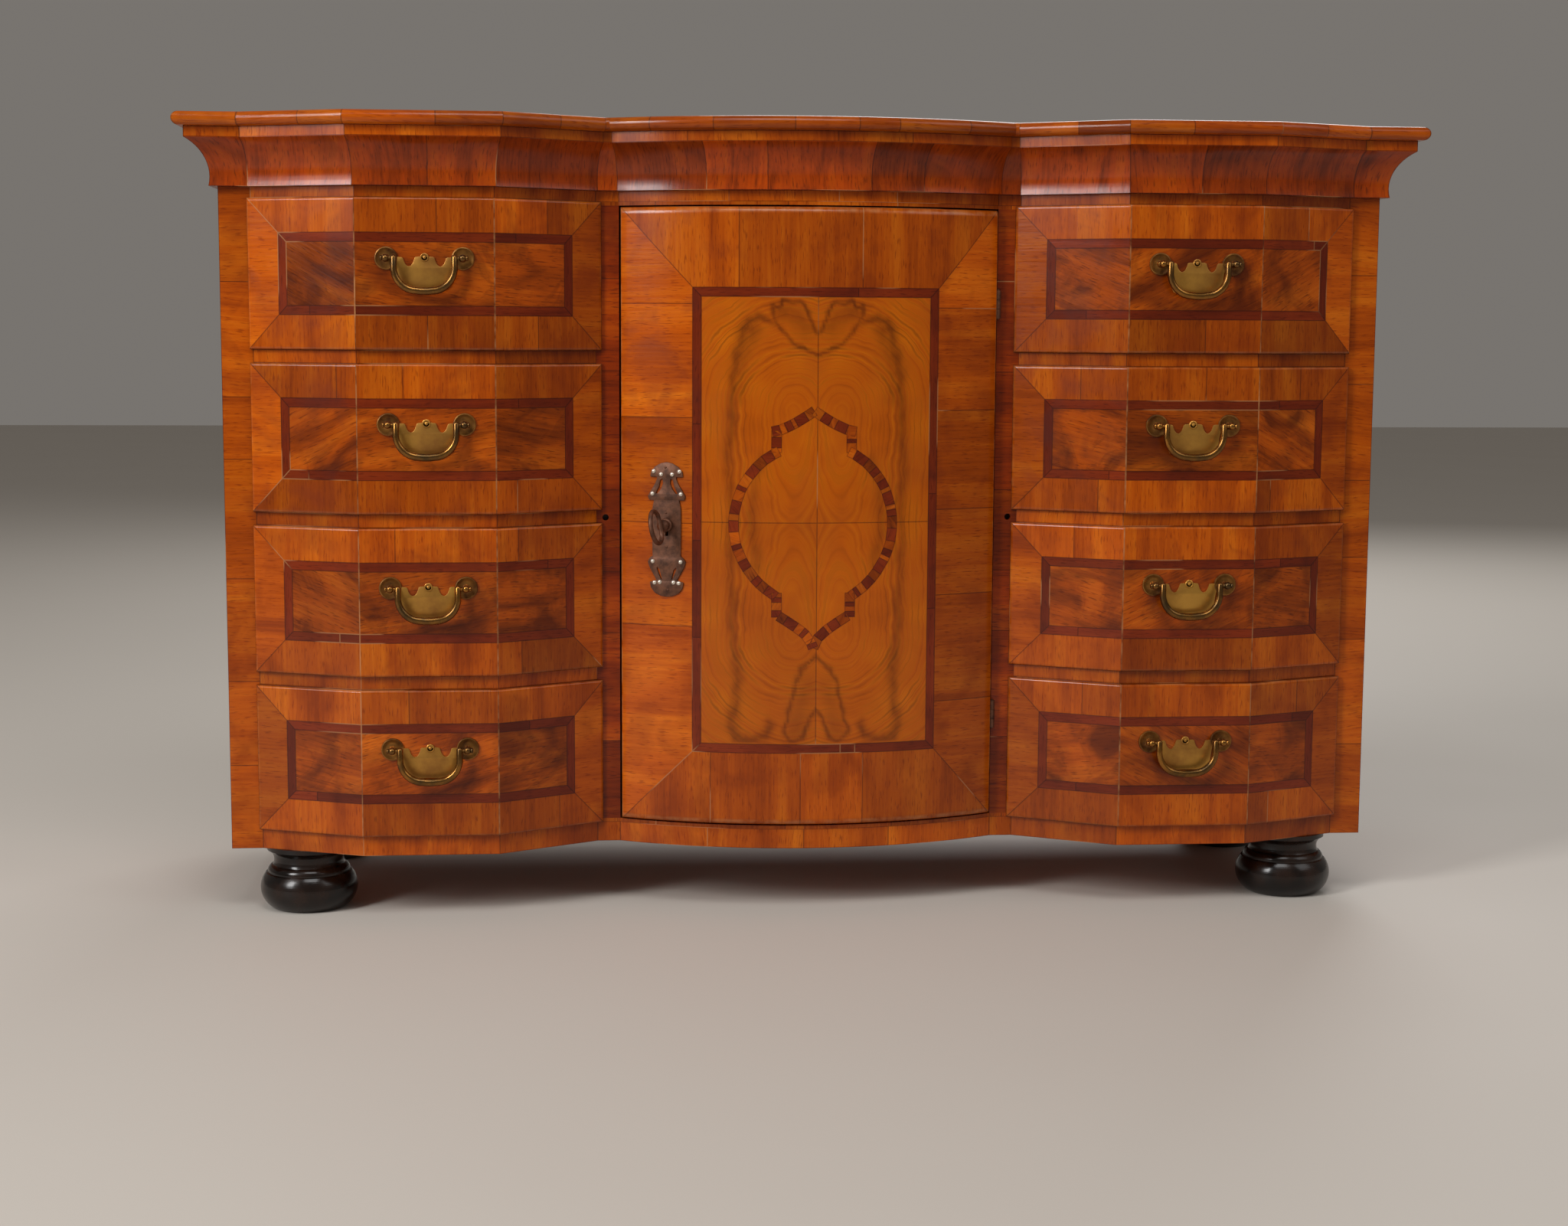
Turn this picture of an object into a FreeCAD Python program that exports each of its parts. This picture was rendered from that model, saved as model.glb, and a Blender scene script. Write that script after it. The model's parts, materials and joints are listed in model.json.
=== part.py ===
import FreeCAD, Part
import Sketcher
import math
import os
from collections import namedtuple

# A small table-top cabinet: a bowed door between two banks of four drawers with
# three-facet fronts, under a coved cornice and on four bun feet.
# Frame: +Z up, front towards -Y, origin in the middle of the footprint on the floor.
# The plan is drawn from the plane of the outer stiles, with Y growing to the back.

doc = FreeCAD.newDocument("cabinet")
sheet = doc.addObject("Spreadsheet::Sheet", "Sizes")

SIZES = [
    # Plan of the carcass; the inner edge of the valley is counted from its outer edge
    ("body_width", 900.0),
    ("body_depth", 265.0),
    ("stile_width", 24.0),
    ("outer_ridge", 346.0),
    ("inner_ridge", 242.0),
    ("valley_outer", 166.0),
    ("valley_inner", 18.0),
    ("ridge_forward", 34.0),
    ("valley_back", 10.0),
    ("bow_rise", 39.0),
    # Heights
    ("foot_height", 50.0),
    ("bottom_strip", 15.6),
    ("drawer_height", 113.4),
    ("rail_gap", 10.3),
    ("frieze_height", 8.5),
    ("back_thickness", 10.0),
    # Cornice and top
    ("cavetto_height", 35.0),
    ("cavetto_foot", 6.1),
    ("cavetto_top", 21.6),
    ("fillet_height", 5.6),
    ("cornice_backing", 20.0),
    ("nose_overhang", 29.4),
    ("nose_thickness", 13.0),
    # Drawers
    ("lip_overlap", 2.5),
    ("front_proud", 5.5),
    ("seat_gap", 0.3),
    ("side_gap", 0.5),
    ("front_back", 24.0),
    ("drawer_side", 8.0),
    ("drawer_bottom", 6.0),
    ("drawer_headroom", 8.0),
    ("drawer_stop", 5.0),
    ("edge_round", 2.0),
    # Handles
    ("post_rise", 11.5),
    ("post_spacing", 57.0),
    ("roundel_radius", 8.6),
    ("plate_drop", 22.0),
    ("plate_width", 40.0),
    ("plate_thickness", 1.6),
    ("ring_radius", 3.3),
    ("ring_wire", 0.8),
    ("post_radius", 2.1),
    ("post_reach", 9.0),
    ("ball_radius", 2.9),
    ("bail_width", 45.0),
    ("bail_drop", 24.0),
    ("bail_wire", 2.6),
    ("bail_corner", 13.0),
    ("stub_radius", 1.3),
    # Door; its hinges are counted from the top and the bottom of the opening
    ("door_gap", 1.2),
    ("door_thickness", 22.0),
    ("door_round", 5.0),
    ("hinge_top", 73.6),
    ("hinge_bottom", 81.4),
    ("hinge_height", 22.0),
    ("hinge_leaf", 19.0),
    ("leaf_thickness", 1.5),
    ("knuckle_radius", 2.5),
    ("pin_radius", 1.1),
    ("pin_gap", 0.05),
    ("pin_head", 0.8),
    # Lock, key and escutcheon; the key is counted in from the door's edge and down from its middle
    ("key_across", 34.8),
    ("key_level", 4.85),
    ("case_left", 27.0),
    ("case_right", 17.0),
    ("case_height", 62.0),
    ("case_thickness", 12.0),
    ("case_wall", 1.5),
    ("bolt_rise", 11.0),
    ("bolt_height", 9.0),
    ("bolt_thickness", 5.0),
    ("bolt_length", 46.0),
    ("bolt_inset", 0.6),
    ("bolt_throw", 9.0),
    ("key_radius", 3.6),
    ("key_reach", 14.0),
    ("bow_height", 27.0),
    ("bow_width", 24.0),
    ("bow_wire", 2.0),
    ("bit_drop", 8.5),
    ("bit_thickness", 2.4),
    ("bit_depth", 4.0),
    ("escutcheon_height", 104.0),
    ("escutcheon_width", 23.0),
    ("escutcheon_drop", 4.3),
    ("escutcheon_thickness", 1.4),
    ("stud_radius", 1.5),
    # Feet, counted in from the sides, the front stiles and the back
    ("foot_radius", 37.7),
    ("foot_across", 57.0),
    ("foot_front", 18.0),
    ("foot_rear", 60.0),
    # Old catch holes in the valley strips, counted out from the door and down from its middle
    ("catch_radius", 2.5),
    ("catch_depth", 12.0),
    ("catch_across", 11.0),
    ("catch_level", 0.85),
    # How far a cutting shape runs past what it cuts
    ("overrun", 1.0),
]


class Length:
    """A number from the sheet that keeps the formula it came from."""

    def __init__(self, value, formula):
        self.value = value
        self.formula = formula

    def __add__(self, other):
        return Length(self.value + number(other), f"({self.formula} + {formula(other)})")

    def __sub__(self, other):
        return Length(self.value - number(other), f"({self.formula} - {formula(other)})")

    def __mul__(self, other):
        return Length(self.value * number(other), f"({self.formula} * {formula(other)})")

    def __truediv__(self, other):
        return Length(self.value / number(other), f"({self.formula} / {formula(other)})")

    def __rmul__(self, other):
        return self * other

    def __radd__(self, other):
        return self + other

    def __rsub__(self, other):
        return -self + other

    def __neg__(self):
        return self * -1

    def root(self):
        return Length(math.sqrt(self.value), f"sqrt({self.formula})")

    def arcsine(self):
        return Length(math.degrees(math.asin(self.value)), f"asin({self.formula})")


def number(value):
    return value.value if isinstance(value, Length) else value


def formula(value):
    return value.formula if isinstance(value, Length) else f"({value})"


def fill_sheet():
    table = {}
    for row, (alias, value) in enumerate(SIZES, start=1):
        sheet.set(f"A{row}", alias)
        sheet.set(f"B{row}", str(value))
        sheet.setAlias(f"B{row}", alias)
        table[alias] = Length(value, f"Sizes.{alias}")
    doc.recompute()
    return namedtuple("Table", table)(**table)


s = fill_sheet()
Via = namedtuple("Via", "x y")
nodes = {}
SIDES = {"left": -1, "right": 1}
DRAWERS = 4
TURN = 360
SAME_PLACE = 1e-4

# Places that several pieces share
half_width = s.body_width / 2
stile_inner = half_width - s.stile_width
stile_y = (s.ridge_forward + s.nose_overhang - s.body_depth) / 2
board_depth = s.body_depth - s.back_thickness
valley_edge = s.valley_outer - s.valley_inner
bow_radius = (valley_edge * valley_edge + s.bow_rise * s.bow_rise) / (2 * s.bow_rise)
bow_centre = s.valley_back - s.bow_rise + bow_radius
door_centre = bow_centre - s.front_proud
door_half = valley_edge - s.door_gap
drawers_low = s.foot_height + s.bottom_strip
drawer_pitch = s.drawer_height + s.rail_gap
drawers_high = drawers_low + DRAWERS * s.drawer_height + (DRAWERS - 1) * s.rail_gap
cornice_low = drawers_high + s.frieze_height
nose_low = cornice_low + s.cavetto_height + s.fillet_height
opening_low = drawers_low + s.lip_overlap
opening_high = drawers_high - s.lip_overlap
opening_middle = (opening_low + opening_high) / 2
facet_middle = (s.outer_ridge + s.inner_ridge) / 2
key_out = door_half - s.key_across
key_height = opening_middle - s.key_level


def bind(obj, name, value):
    """Ties one property to the sheet; a plain zero is set as it is."""
    if isinstance(value, Length):
        obj.setExpression(name, value.formula)


def place(obj, x=0, y=0, z=0):
    bind(obj, "Placement.Base.x", x)
    bind(obj, "Placement.Base.y", y)
    bind(obj, "Placement.Base.z", z)
    return obj


def turn(obj, axis, degrees):
    """Turns a piece about one axis through its own origin."""
    turning = FreeCAD.Rotation(FreeCAD.Vector(*axis), number(degrees))
    obj.Placement = FreeCAD.Placement(FreeCAD.Vector(), turning)
    return obj


def node(obj, label):
    obj.Label = label
    nodes[label] = obj
    return obj


def mirrored(points):
    return [type(p)(-p[0], p[1]) if isinstance(p, Via) else (-p[0], p[1]) for p in points]


# Sketches


def plane(body, role):
    return next(f for f in body.Origin.OriginFeatures if f.Role == role)


def hold(sketch, geometry, end, x, y):
    """Holds one point of a sketch at named distances from its origin."""
    for kind, axis, value in (("DistanceX", -2, x), ("DistanceY", -1, y)):
        if not isinstance(value, Length):
            sketch.addConstraint(Sketcher.Constraint("PointOnObject", geometry, end, axis))
            continue
        row = sketch.addConstraint(Sketcher.Constraint(kind, -1, 1, geometry, end, value.value))
        sketch.setExpression(f"Constraints[{row}]", value.formula)


def vector(point):
    return FreeCAD.Vector(number(point[0]), number(point[1]), 0)


def draw(sketch, points, closed=True):
    """Draws straight runs between points, and an arc wherever a Via stands between two."""
    count = len(points)
    corners = [i for i in range(count) if not isinstance(points[i], Via)]
    pairs = list(zip(corners, corners[1:] + corners[:1]))
    runs = []
    for start, end in pairs if closed else pairs[:-1]:
        between = points[(start + 1) % count]
        if isinstance(between, Via):
            bend = [vector(points[start]), vector(between), vector(points[end])]
            forward = (bend[1] - bend[0]).cross(bend[2] - bend[1]).z > 0
            run = sketch.addGeometry(Part.Arc(*(bend if forward else bend[::-1])), False)
            mark = sketch.addGeometry(Part.Point(vector(between)), True)
            sketch.addConstraint(Sketcher.Constraint("PointOnObject", mark, 1, run))
            hold(sketch, mark, 1, *between)
        else:
            run = sketch.addGeometry(Part.LineSegment(vector(points[start]), vector(points[end])), False)
            forward = True
        runs.append((run, 1 if forward else 2, 2 if forward else 1, start, end))
    for this, following in zip(runs, runs[1:] + (runs[:1] if closed else [])):
        sketch.addConstraint(Sketcher.Constraint("Coincident", this[0], this[2], following[0], following[1]))
    for run, first, last, start, end in runs:
        hold(sketch, run, first, *points[start])
    if not closed:
        hold(sketch, runs[-1][0], runs[-1][2], *points[runs[-1][4]])


def sketch_in(body, name, role, points, lift=0):
    sketch = body.newObject("Sketcher::SketchObject", name)
    sketch.AttachmentSupport = [(plane(body, role), "")]
    sketch.MapMode = "FlatFace"
    bind(sketch, "AttachmentOffset.Base.z", lift)
    draw(sketch, points)
    return sketch


def pad(body, sketch, length, backwards=False):
    feature = body.newObject("PartDesign::Pad", sketch.Name + "_pad")
    feature.Profile = sketch
    feature.Reversed = backwards
    bind(feature, "Length", length)
    return feature


def board(label, outline, z, thickness):
    """A flat board cut to a plan outline."""
    body = doc.addObject("PartDesign::Body", label)
    pad(body, sketch_in(body, label + "_plan", "XY_Plane", outline), thickness)
    return place(body, 0, stile_y, z)


def box(name, low, size):
    obj = doc.addObject("Part::Box", name)
    for prop, value in zip(("Length", "Width", "Height"), size):
        bind(obj, prop, value)
    return place(obj, *low)


def boolean(kind, name, pieces):
    obj = doc.addObject(kind, name)
    if kind == "Part::Cut":
        obj.Base, obj.Tool = pieces
    elif kind == "Part::Compound":
        obj.Links = pieces
    else:
        obj.Shapes = pieces
    return obj


def cylinder(name, radius, length, at, axis=(0, 0, 1)):
    """A round bar that starts at a point and runs along one of the frame's axes."""
    obj = doc.addObject("Part::Cylinder", name)
    bind(obj, "Radius", radius)
    bind(obj, "Height", length)
    turning = FreeCAD.Rotation(FreeCAD.Vector(0, 0, 1), FreeCAD.Vector(*axis))
    obj.Placement = FreeCAD.Placement(FreeCAD.Vector(), turning)
    return place(obj, *at)


def sphere(name, radius, at):
    obj = doc.addObject("Part::Sphere", name)
    bind(obj, "Radius", radius)
    return place(obj, *at)


def round_edges(body, chosen, radius, name):
    """Rounds the edges of a body's last feature that the test picks."""
    doc.recompute()
    base = body.Tip
    names = [f"Edge{i}" for i, edge in enumerate(base.Shape.Edges, start=1) if chosen(edge)]
    fillet = body.newObject("PartDesign::Fillet", name)
    fillet.Base = (base, names)
    bind(fillet, "Radius", radius)
    return fillet


# Carcass

bank_front = [
    (half_width, 0),
    (stile_inner, 0),
    (s.outer_ridge, -s.ridge_forward),
    (s.inner_ridge, -s.ridge_forward),
    (s.valley_outer, s.valley_back),
    (valley_edge, s.valley_back),
]
bow_apex = Via(0, s.valley_back - s.bow_rise)


def carcass_plan(back):
    right = [(half_width, back)] + bank_front
    return right + [bow_apex] + list(reversed(mirrored(right)))


def facet_y(x):
    """Front of the carcass on the outer facet, at a distance from the middle."""
    return -s.ridge_forward * (stile_inner - x) / (stile_inner - s.outer_ridge)


def inner_facet_y(x):
    """Front of the carcass on the inner facet."""
    share = (x - s.valley_outer) / (s.inner_ridge - s.valley_outer)
    return s.valley_back - (s.valley_back + s.ridge_forward) * share


opening_outer = stile_inner - s.lip_overlap
opening_inner = s.valley_outer + s.lip_overlap


def dust_boards():
    """Three boards in each bank, whose front edges are the rails between the drawers."""
    outline = [
        (opening_outer, board_depth),
        (opening_outer, facet_y(opening_outer)),
        (s.outer_ridge, -s.ridge_forward),
        (s.inner_ridge, -s.ridge_forward),
        (opening_inner, inner_facet_y(opening_inner)),
        (opening_inner, board_depth),
    ]
    for side, sign in SIDES.items():
        plan = outline if sign > 0 else mirrored(outline)
        boards = []
        for level in range(1, DRAWERS):
            low = drawers_low + level * drawer_pitch - s.rail_gap - s.lip_overlap
            boards.append(board(f"dust_board_{side}_{level}", plan, low, s.rail_gap + 2 * s.lip_overlap))
        node(boolean("Part::Compound", f"dust_boards_{side}", boards), f"dust_boards_{side}")


def carcass():
    for label, depth, low, thickness in (
        ("bottom_board", board_depth, s.foot_height, s.bottom_strip + s.lip_overlap),
        ("upper_board", board_depth, opening_high, s.frieze_height + s.lip_overlap),
        ("top_board", s.body_depth, nose_low, s.nose_thickness),
    ):
        node(board(label, carcass_plan(depth), low, thickness), label)
    high = opening_high - opening_low
    thick = s.stile_width + s.lip_overlap
    for side, sign in SIDES.items():
        low_x = opening_outer if sign > 0 else -half_width
        node(box(f"side_{side}", (low_x, stile_y, opening_low), (thick, board_depth, high)), f"side_{side}")
    back_low = (-half_width, stile_y + board_depth, s.foot_height)
    back_size = (s.body_width, s.back_thickness, cornice_low - s.foot_height)
    node(box("back_panel", back_low, back_size), "back_panel")
    rail_low = (s.cornice_backing - half_width, stile_y + s.body_depth - s.cornice_backing, cornice_low)
    rail_size = (s.body_width - 2 * s.cornice_backing, s.cornice_backing, nose_low - cornice_low)
    node(box("cornice_back_rail", rail_low, rail_size), "cornice_back_rail")


def partitions():
    """The uprights beside the door, with hinge recesses, a bolt mortise and two old catch holes."""
    thick = opening_inner - valley_edge
    depth = board_depth - s.valley_back
    front = stile_y + s.valley_back
    for side, sign in SIDES.items():
        low_x = valley_edge if sign > 0 else -opening_inner
        size = (thick, depth, opening_high - opening_low)
        blank = box(f"partition_{side}_blank", (low_x, front, opening_low), size)
        across = sign * (valley_edge + s.catch_across)
        hole_start = (across, front + s.catch_depth, opening_middle - s.catch_level)
        length = s.catch_depth + s.overrun
        cuts = [cylinder(f"catch_hole_{side}", s.catch_radius, length, hole_start, (0, -1, 0))]
        if sign > 0:
            cuts += [leaf_plate(f"fixed_leaf_recess_{i}", level, valley_edge)
                     for i, level in enumerate(hinge_levels)]
        else:
            cuts.append(bolt_bar("bolt_mortise", s.bolt_throw, s.seat_gap))
        tools = boolean("Part::Compound", f"partition_{side}_cuts", cuts)
        node(boolean("Part::Cut", f"partition_{side}", (blank, tools)), f"partition_{side}")


# Mouldings


def mitres(points):
    """How far each corner of a run of straight fronts moves for each unit of overhang."""
    normals = []
    for a, b in zip(points, points[1:]):
        along = (b - a).normalize()
        normals.append(FreeCAD.Vector(-along.y, along.x, 0))
    ends = [normals[0]]
    for a, b in zip(normals, normals[1:]):
        ends.append((a + b) / (1 + a.dot(b)))
    return ends + [normals[-1]]


def section(profile):
    """A moulding's section as a wire: overhang along X, height along Z."""
    edges = []
    count = len(profile)
    corners = [i for i in range(count) if not isinstance(profile[i], Via)]
    for start, end in zip(corners, corners[1:] + corners[:1]):
        between = profile[(start + 1) % count]
        first, middle, last = (FreeCAD.Vector(number(p[0]), 0, number(p[1]))
                               for p in (profile[start], between, profile[end]))
        if isinstance(between, Via):
            edges.append(Part.Arc(first, middle, last).toShape())
        else:
            edges.append(Part.makeLine(first, last))
    return Part.Wire(edges)


def set_out(wire, corner, outwards):
    """A section carried to a corner of the plan, its overhang drawn out along the mitre there."""
    matrix = FreeCAD.Matrix()
    matrix.A11, matrix.A12, matrix.A14 = outwards.x, -outwards.y, corner.x
    matrix.A21, matrix.A22, matrix.A24 = outwards.y, outwards.x, corner.y
    return wire.transformGeometry(matrix)


def straight_runs(profile, points, first=0, last=None):
    """Mitred lengths of moulding along a run of straight fronts."""
    wires = [set_out(section(profile), corner, mitre) for corner, mitre in zip(points, mitres(points))]
    pairs = list(zip(wires, wires[1:]))[first:last]
    return [Part.makeLoft([a, b], True, True) for a, b in pairs]


def bowed_run(profile):
    """The length of moulding round the bow."""
    centre = FreeCAD.Vector(0, bow_centre.value, 0)
    forward = FreeCAD.Vector(0, -1, 0)
    up = FreeCAD.Vector(0, 0, 1)
    half_sweep = math.degrees(math.asin(valley_edge.value / bow_radius.value))
    face = Part.Face(set_out(section(profile), centre + forward * bow_radius.value, forward))
    face.rotate(centre, up, -half_sweep)
    return face.revolve(centre, up, 2 * half_sweep)


def flipped(shape):
    return shape.mirror(FreeCAD.Vector(), FreeCAD.Vector(1, 0, 0))


def moulding(label, solids, z):
    whole = solids[0].fuse(solids[1:]).removeSplitter() if len(solids) > 1 else solids[0]
    obj = doc.addObject("Part::Feature", label)
    if len(whole.Solids) != 1:
        raise RuntimeError(f"{label} came out in {len(whole.Solids)} lengths")
    obj.Shape = whole.Solids[0]
    return node(place(obj, 0, stile_y, z), label)


cavetto_waist_shares = (0.29, 0.71)


def mouldings():
    """The coved cornice with its returns, and the half-round nosing round the top board."""
    points = [vector(p) for p in [(half_width, s.body_depth)] + bank_front]
    swell = s.cavetto_top - s.cavetto_foot
    rise = s.cavetto_height + s.fillet_height
    cove = [
        (-s.cornice_backing, 0),
        (s.cavetto_foot, 0),
        Via(s.cavetto_foot + swell * cavetto_waist_shares[0], s.cavetto_height * cavetto_waist_shares[1]),
        (s.cavetto_top, s.cavetto_height),
        (s.cavetto_top, rise),
        (-s.cornice_backing, rise),
    ]
    nose = [
        (0, 0),
        (s.nose_overhang - s.nose_thickness / 2, 0),
        Via(s.nose_overhang, s.nose_thickness / 2),
        (s.nose_overhang - s.nose_thickness / 2, s.nose_thickness),
        (0, s.nose_thickness),
    ]
    fronts = straight_runs(cove, points, 1)
    returns = straight_runs(cove, points, 0, 1)
    moulding("cornice_front", [bowed_run(cove)] + fronts + [flipped(f) for f in fronts], cornice_low)
    moulding("cornice_return_right", returns, cornice_low)
    moulding("cornice_return_left", [flipped(returns[0])], cornice_low)
    edges = straight_runs(nose, points)
    moulding("top_nosing", [bowed_run(nose)] + edges + [flipped(e) for e in edges], nose_low)


# Feet, as shares of the largest radius and of the height

foot_profile_shares = [
    (0.74, 0.0),
    Via(1.0, 0.31),
    (0.89, 0.56),
    (0.85, 0.57),
    Via(0.83, 0.64),
    (0.745, 0.69),
    Via(0.72, 0.8),
    (0.86, 0.93),
    (0.86, 1.0),
]


def feet():
    ring = [type(p)(s.foot_radius * p[0], s.foot_height * p[1]) if isinstance(p, Via)
            else (s.foot_radius * p[0], s.foot_height * p[1] if p[1] else 0) for p in foot_profile_shares]
    outline = [(0, 0)] + ring + [(0, s.foot_height)]
    for end, y in (("front", s.foot_front), ("rear", s.body_depth - s.foot_rear)):
        for side, sign in SIDES.items():
            label = f"foot_{end}_{side}"
            body = doc.addObject("PartDesign::Body", label)
            sketch = sketch_in(body, label + "_section", "XZ_Plane", outline)
            turned = body.newObject("PartDesign::Revolution", label + "_turned")
            turned.Profile = sketch
            turned.ReferenceAxis = (sketch, ["V_Axis"])
            turned.Angle = TURN
            node(place(body, sign * (half_width - s.foot_across), stile_y + y, 0), label)


# Door

hinge_levels = (opening_low + s.hinge_bottom, opening_high - s.hinge_top)
hinge_y = s.valley_back - s.knuckle_radius - s.seat_gap


def door_y(x, thickness):
    """Door face at a distance from the middle, outside or that far inside."""
    radius = bow_radius - thickness
    return door_centre - (radius * radius - x * x).root()


def door():
    gap = s.door_gap
    low = opening_low + gap
    height = opening_high - opening_low - 2 * gap
    outline = [
        (door_half, door_y(door_half, s.door_thickness)),
        (door_half, door_y(door_half, 0)),
        Via(0, door_centre - bow_radius),
        (-door_half, door_y(door_half, 0)),
        (-door_half, door_y(door_half, s.door_thickness)),
        Via(0, door_centre - bow_radius + s.door_thickness),
    ]
    body = board("door_blank", outline, low, height)
    apex = (door_centre - bow_radius).value

    def front_arc(edge):
        middle = edge.valueAt((edge.FirstParameter + edge.LastParameter) / 2)
        flat = edge.BoundBox.ZLength < SAME_PLACE
        return flat and abs(middle.y - apex) < SAME_PLACE

    round_edges(body, front_arc, s.door_round, "door_rounded")
    cuts = [knuckle_room(level, i) for i, level in enumerate(hinge_levels)]
    cuts += [leaf_plate(f"door_leaf_recess_{i}", level, door_half - s.leaf_thickness)
             for i, level in enumerate(hinge_levels)]
    cuts.append(lock_mortise())
    tools = boolean("Part::Compound", "door_cuts", cuts)
    node(boolean("Part::Cut", "door_panel", (body, tools)), "door_panel")


# Hinges


def leaf_plate(name, level, low_x):
    low = (low_x, stile_y + hinge_y, level - s.hinge_height / 2)
    return box(name, low, (s.leaf_thickness, s.hinge_leaf, s.hinge_height))


def knuckle(name, radius, low, height):
    return cylinder(name, radius, height, (valley_edge, stile_y + hinge_y, low))


def knuckle_room(level, i):
    radius = s.knuckle_radius + s.seat_gap
    return knuckle(f"knuckle_room_{i}", radius, level - s.hinge_height / 2, s.hinge_height)


def hinge_leaf(name, level, plate, spans, others):
    """A leaf with its knuckles, cut clear of the other leaf's knuckles and bored for the pin."""
    third = s.hinge_height / 3
    low = level - s.hinge_height / 2
    gap = s.seat_gap
    keep = [knuckle(f"{name}_knuckle_{n}", s.knuckle_radius, low + third * n, third - gap) for n in spans]
    clear = [knuckle(f"{name}_clear_{n}", s.knuckle_radius + gap, low + third * n - gap, third + gap)
             for n in others]
    bore_low = low - s.overrun
    bore = knuckle(f"{name}_bore", s.pin_radius + s.pin_gap, bore_low, s.hinge_height + 2 * s.overrun)
    clearing = boolean("Part::Compound", f"{name}_clears", clear)
    cleared = boolean("Part::Cut", f"{name}_plate", (plate, clearing))
    joined = boolean("Part::MultiFuse", f"{name}_joined", [cleared] + keep)
    return boolean("Part::Cut", name, (joined, bore))


def hinges():
    fixed, moving, pins = [], [], []
    for i, level in enumerate(hinge_levels):
        plate = leaf_plate(f"fixed_leaf_{i}", level, valley_edge)
        fixed.append(hinge_leaf(f"fixed_hinge_{i}", level, plate, (0, 2), (1,)))
        plate = leaf_plate(f"door_leaf_{i}", level, door_half - s.leaf_thickness)
        moving.append(hinge_leaf(f"door_hinge_{i}", level, plate, (1,), (0, 2)))
        pin_low = level - s.hinge_height / 2 - s.pin_head
        pins.append(knuckle(f"hinge_pin_{i}", s.pin_radius, pin_low, s.hinge_height + 2 * s.pin_head))
    node(boolean("Part::Compound", "hinge_leaves_fixed", fixed), "hinge_leaves_fixed")
    node(boolean("Part::Compound", "hinge_leaves_door", moving), "hinge_leaves_door")
    node(boolean("Part::Compound", "hinge_pins", pins), "hinge_pins")


# Lock. Its pieces are made about the key's axis, square to the bowed door at that place.

slope_sine = key_out / bow_radius
slope_cosine = (bow_radius * bow_radius - key_out * key_out).root() / bow_radius
key_slope = slope_sine.arcsine()
case_depth = (s.door_thickness - s.case_thickness) / 2
bolt_depth = case_depth + s.case_thickness - s.case_wall - s.seat_gap - s.bolt_thickness
bolt_tip = (s.key_across + bolt_depth * slope_sine) / slope_cosine - s.bolt_inset


def at_lock(obj):
    """Sets a piece on the door where the key goes in, turned to the door's slope there."""
    turn(obj, (0, 0, -1), key_slope)
    obj.setExpression("Placement.Rotation.Angle", key_slope.formula)
    return place(obj, -key_out, stile_y + door_y(key_out, 0), key_height)


def lock_body(label):
    return at_lock(doc.addObject("PartDesign::Body", label))


def block(body, kind, name, low, size):
    obj = body.newObject(f"PartDesign::{kind}Box", name)
    for prop, value in zip(("Length", "Width", "Height"), size):
        bind(obj, prop, value)
    return place(obj, *low)


def bar(body, kind, name, radius, near, far):
    """A round bar along the key's axis; depths are counted inwards from the door's face."""
    obj = body.newObject(f"PartDesign::{kind}Cylinder", name)
    turn(obj, (1, 0, 0), -TURN / 4)
    bind(obj, "Radius", radius)
    bind(obj, "Height", far - near)
    return place(obj, 0, near, 0)


def case_block(body, kind, name, inset, gap=0):
    reach = s.case_left + s.case_right - 2 * inset
    low = (inset - s.case_left - gap, case_depth + inset - gap, inset - s.case_height / 2 - gap)
    size = (reach + 2 * gap, s.case_thickness - 2 * inset + 2 * gap, s.case_height - 2 * inset + 2 * gap)
    return block(body, kind, name, low, size)


def bolt_block(body, kind, name, throw, gap):
    low = (-bolt_tip - throw - gap, bolt_depth - gap, s.bolt_rise - gap)
    size = (s.bolt_length + throw + 2 * gap, s.bolt_thickness + 2 * gap, s.bolt_height + 2 * gap)
    return block(body, kind, name, low, size)


def bolt_bar(name, throw, gap):
    body = lock_body(name)
    bolt_block(body, "Additive", name + "_bar", throw, gap)
    return body


def keyhole(body, kind, name, near, far):
    """A round hole for the stem with a slot under it for the bit."""
    bar(body, kind, name + "_round", s.key_radius + s.seat_gap, near, far)
    half_slot = s.bit_thickness / 2 + s.seat_gap
    drop = s.bit_drop + s.seat_gap
    block(body, kind, name + "_slot", (-half_slot, near, -drop), (2 * half_slot, far - near, drop))


def lock_mortise():
    """Room in the door for the lock case, the bolt's way out and the keyhole."""
    body = lock_body("lock_mortise")
    case_block(body, "Additive", "mortise_case", 0, s.seat_gap)
    bolt_block(body, "Additive", "mortise_bolt", s.bolt_throw, s.seat_gap)
    keyhole(body, "Additive", "mortise_keyhole", -s.overrun, case_depth + s.case_wall)
    return body


def lock():
    case = lock_body("lock_case")
    case_block(case, "Additive", "case_shell", 0)
    case_block(case, "Subtractive", "case_hollow", s.case_wall)
    bolt_block(case, "Subtractive", "case_bolt_way", s.bolt_throw, s.seat_gap)
    keyhole(case, "Subtractive", "case_keyhole", case_depth - s.overrun, case_depth + 2 * s.case_wall)
    node(case, "lock_case")
    node(bolt_bar("lock_bolt", 0, 0), "lock_bolt")


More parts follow.
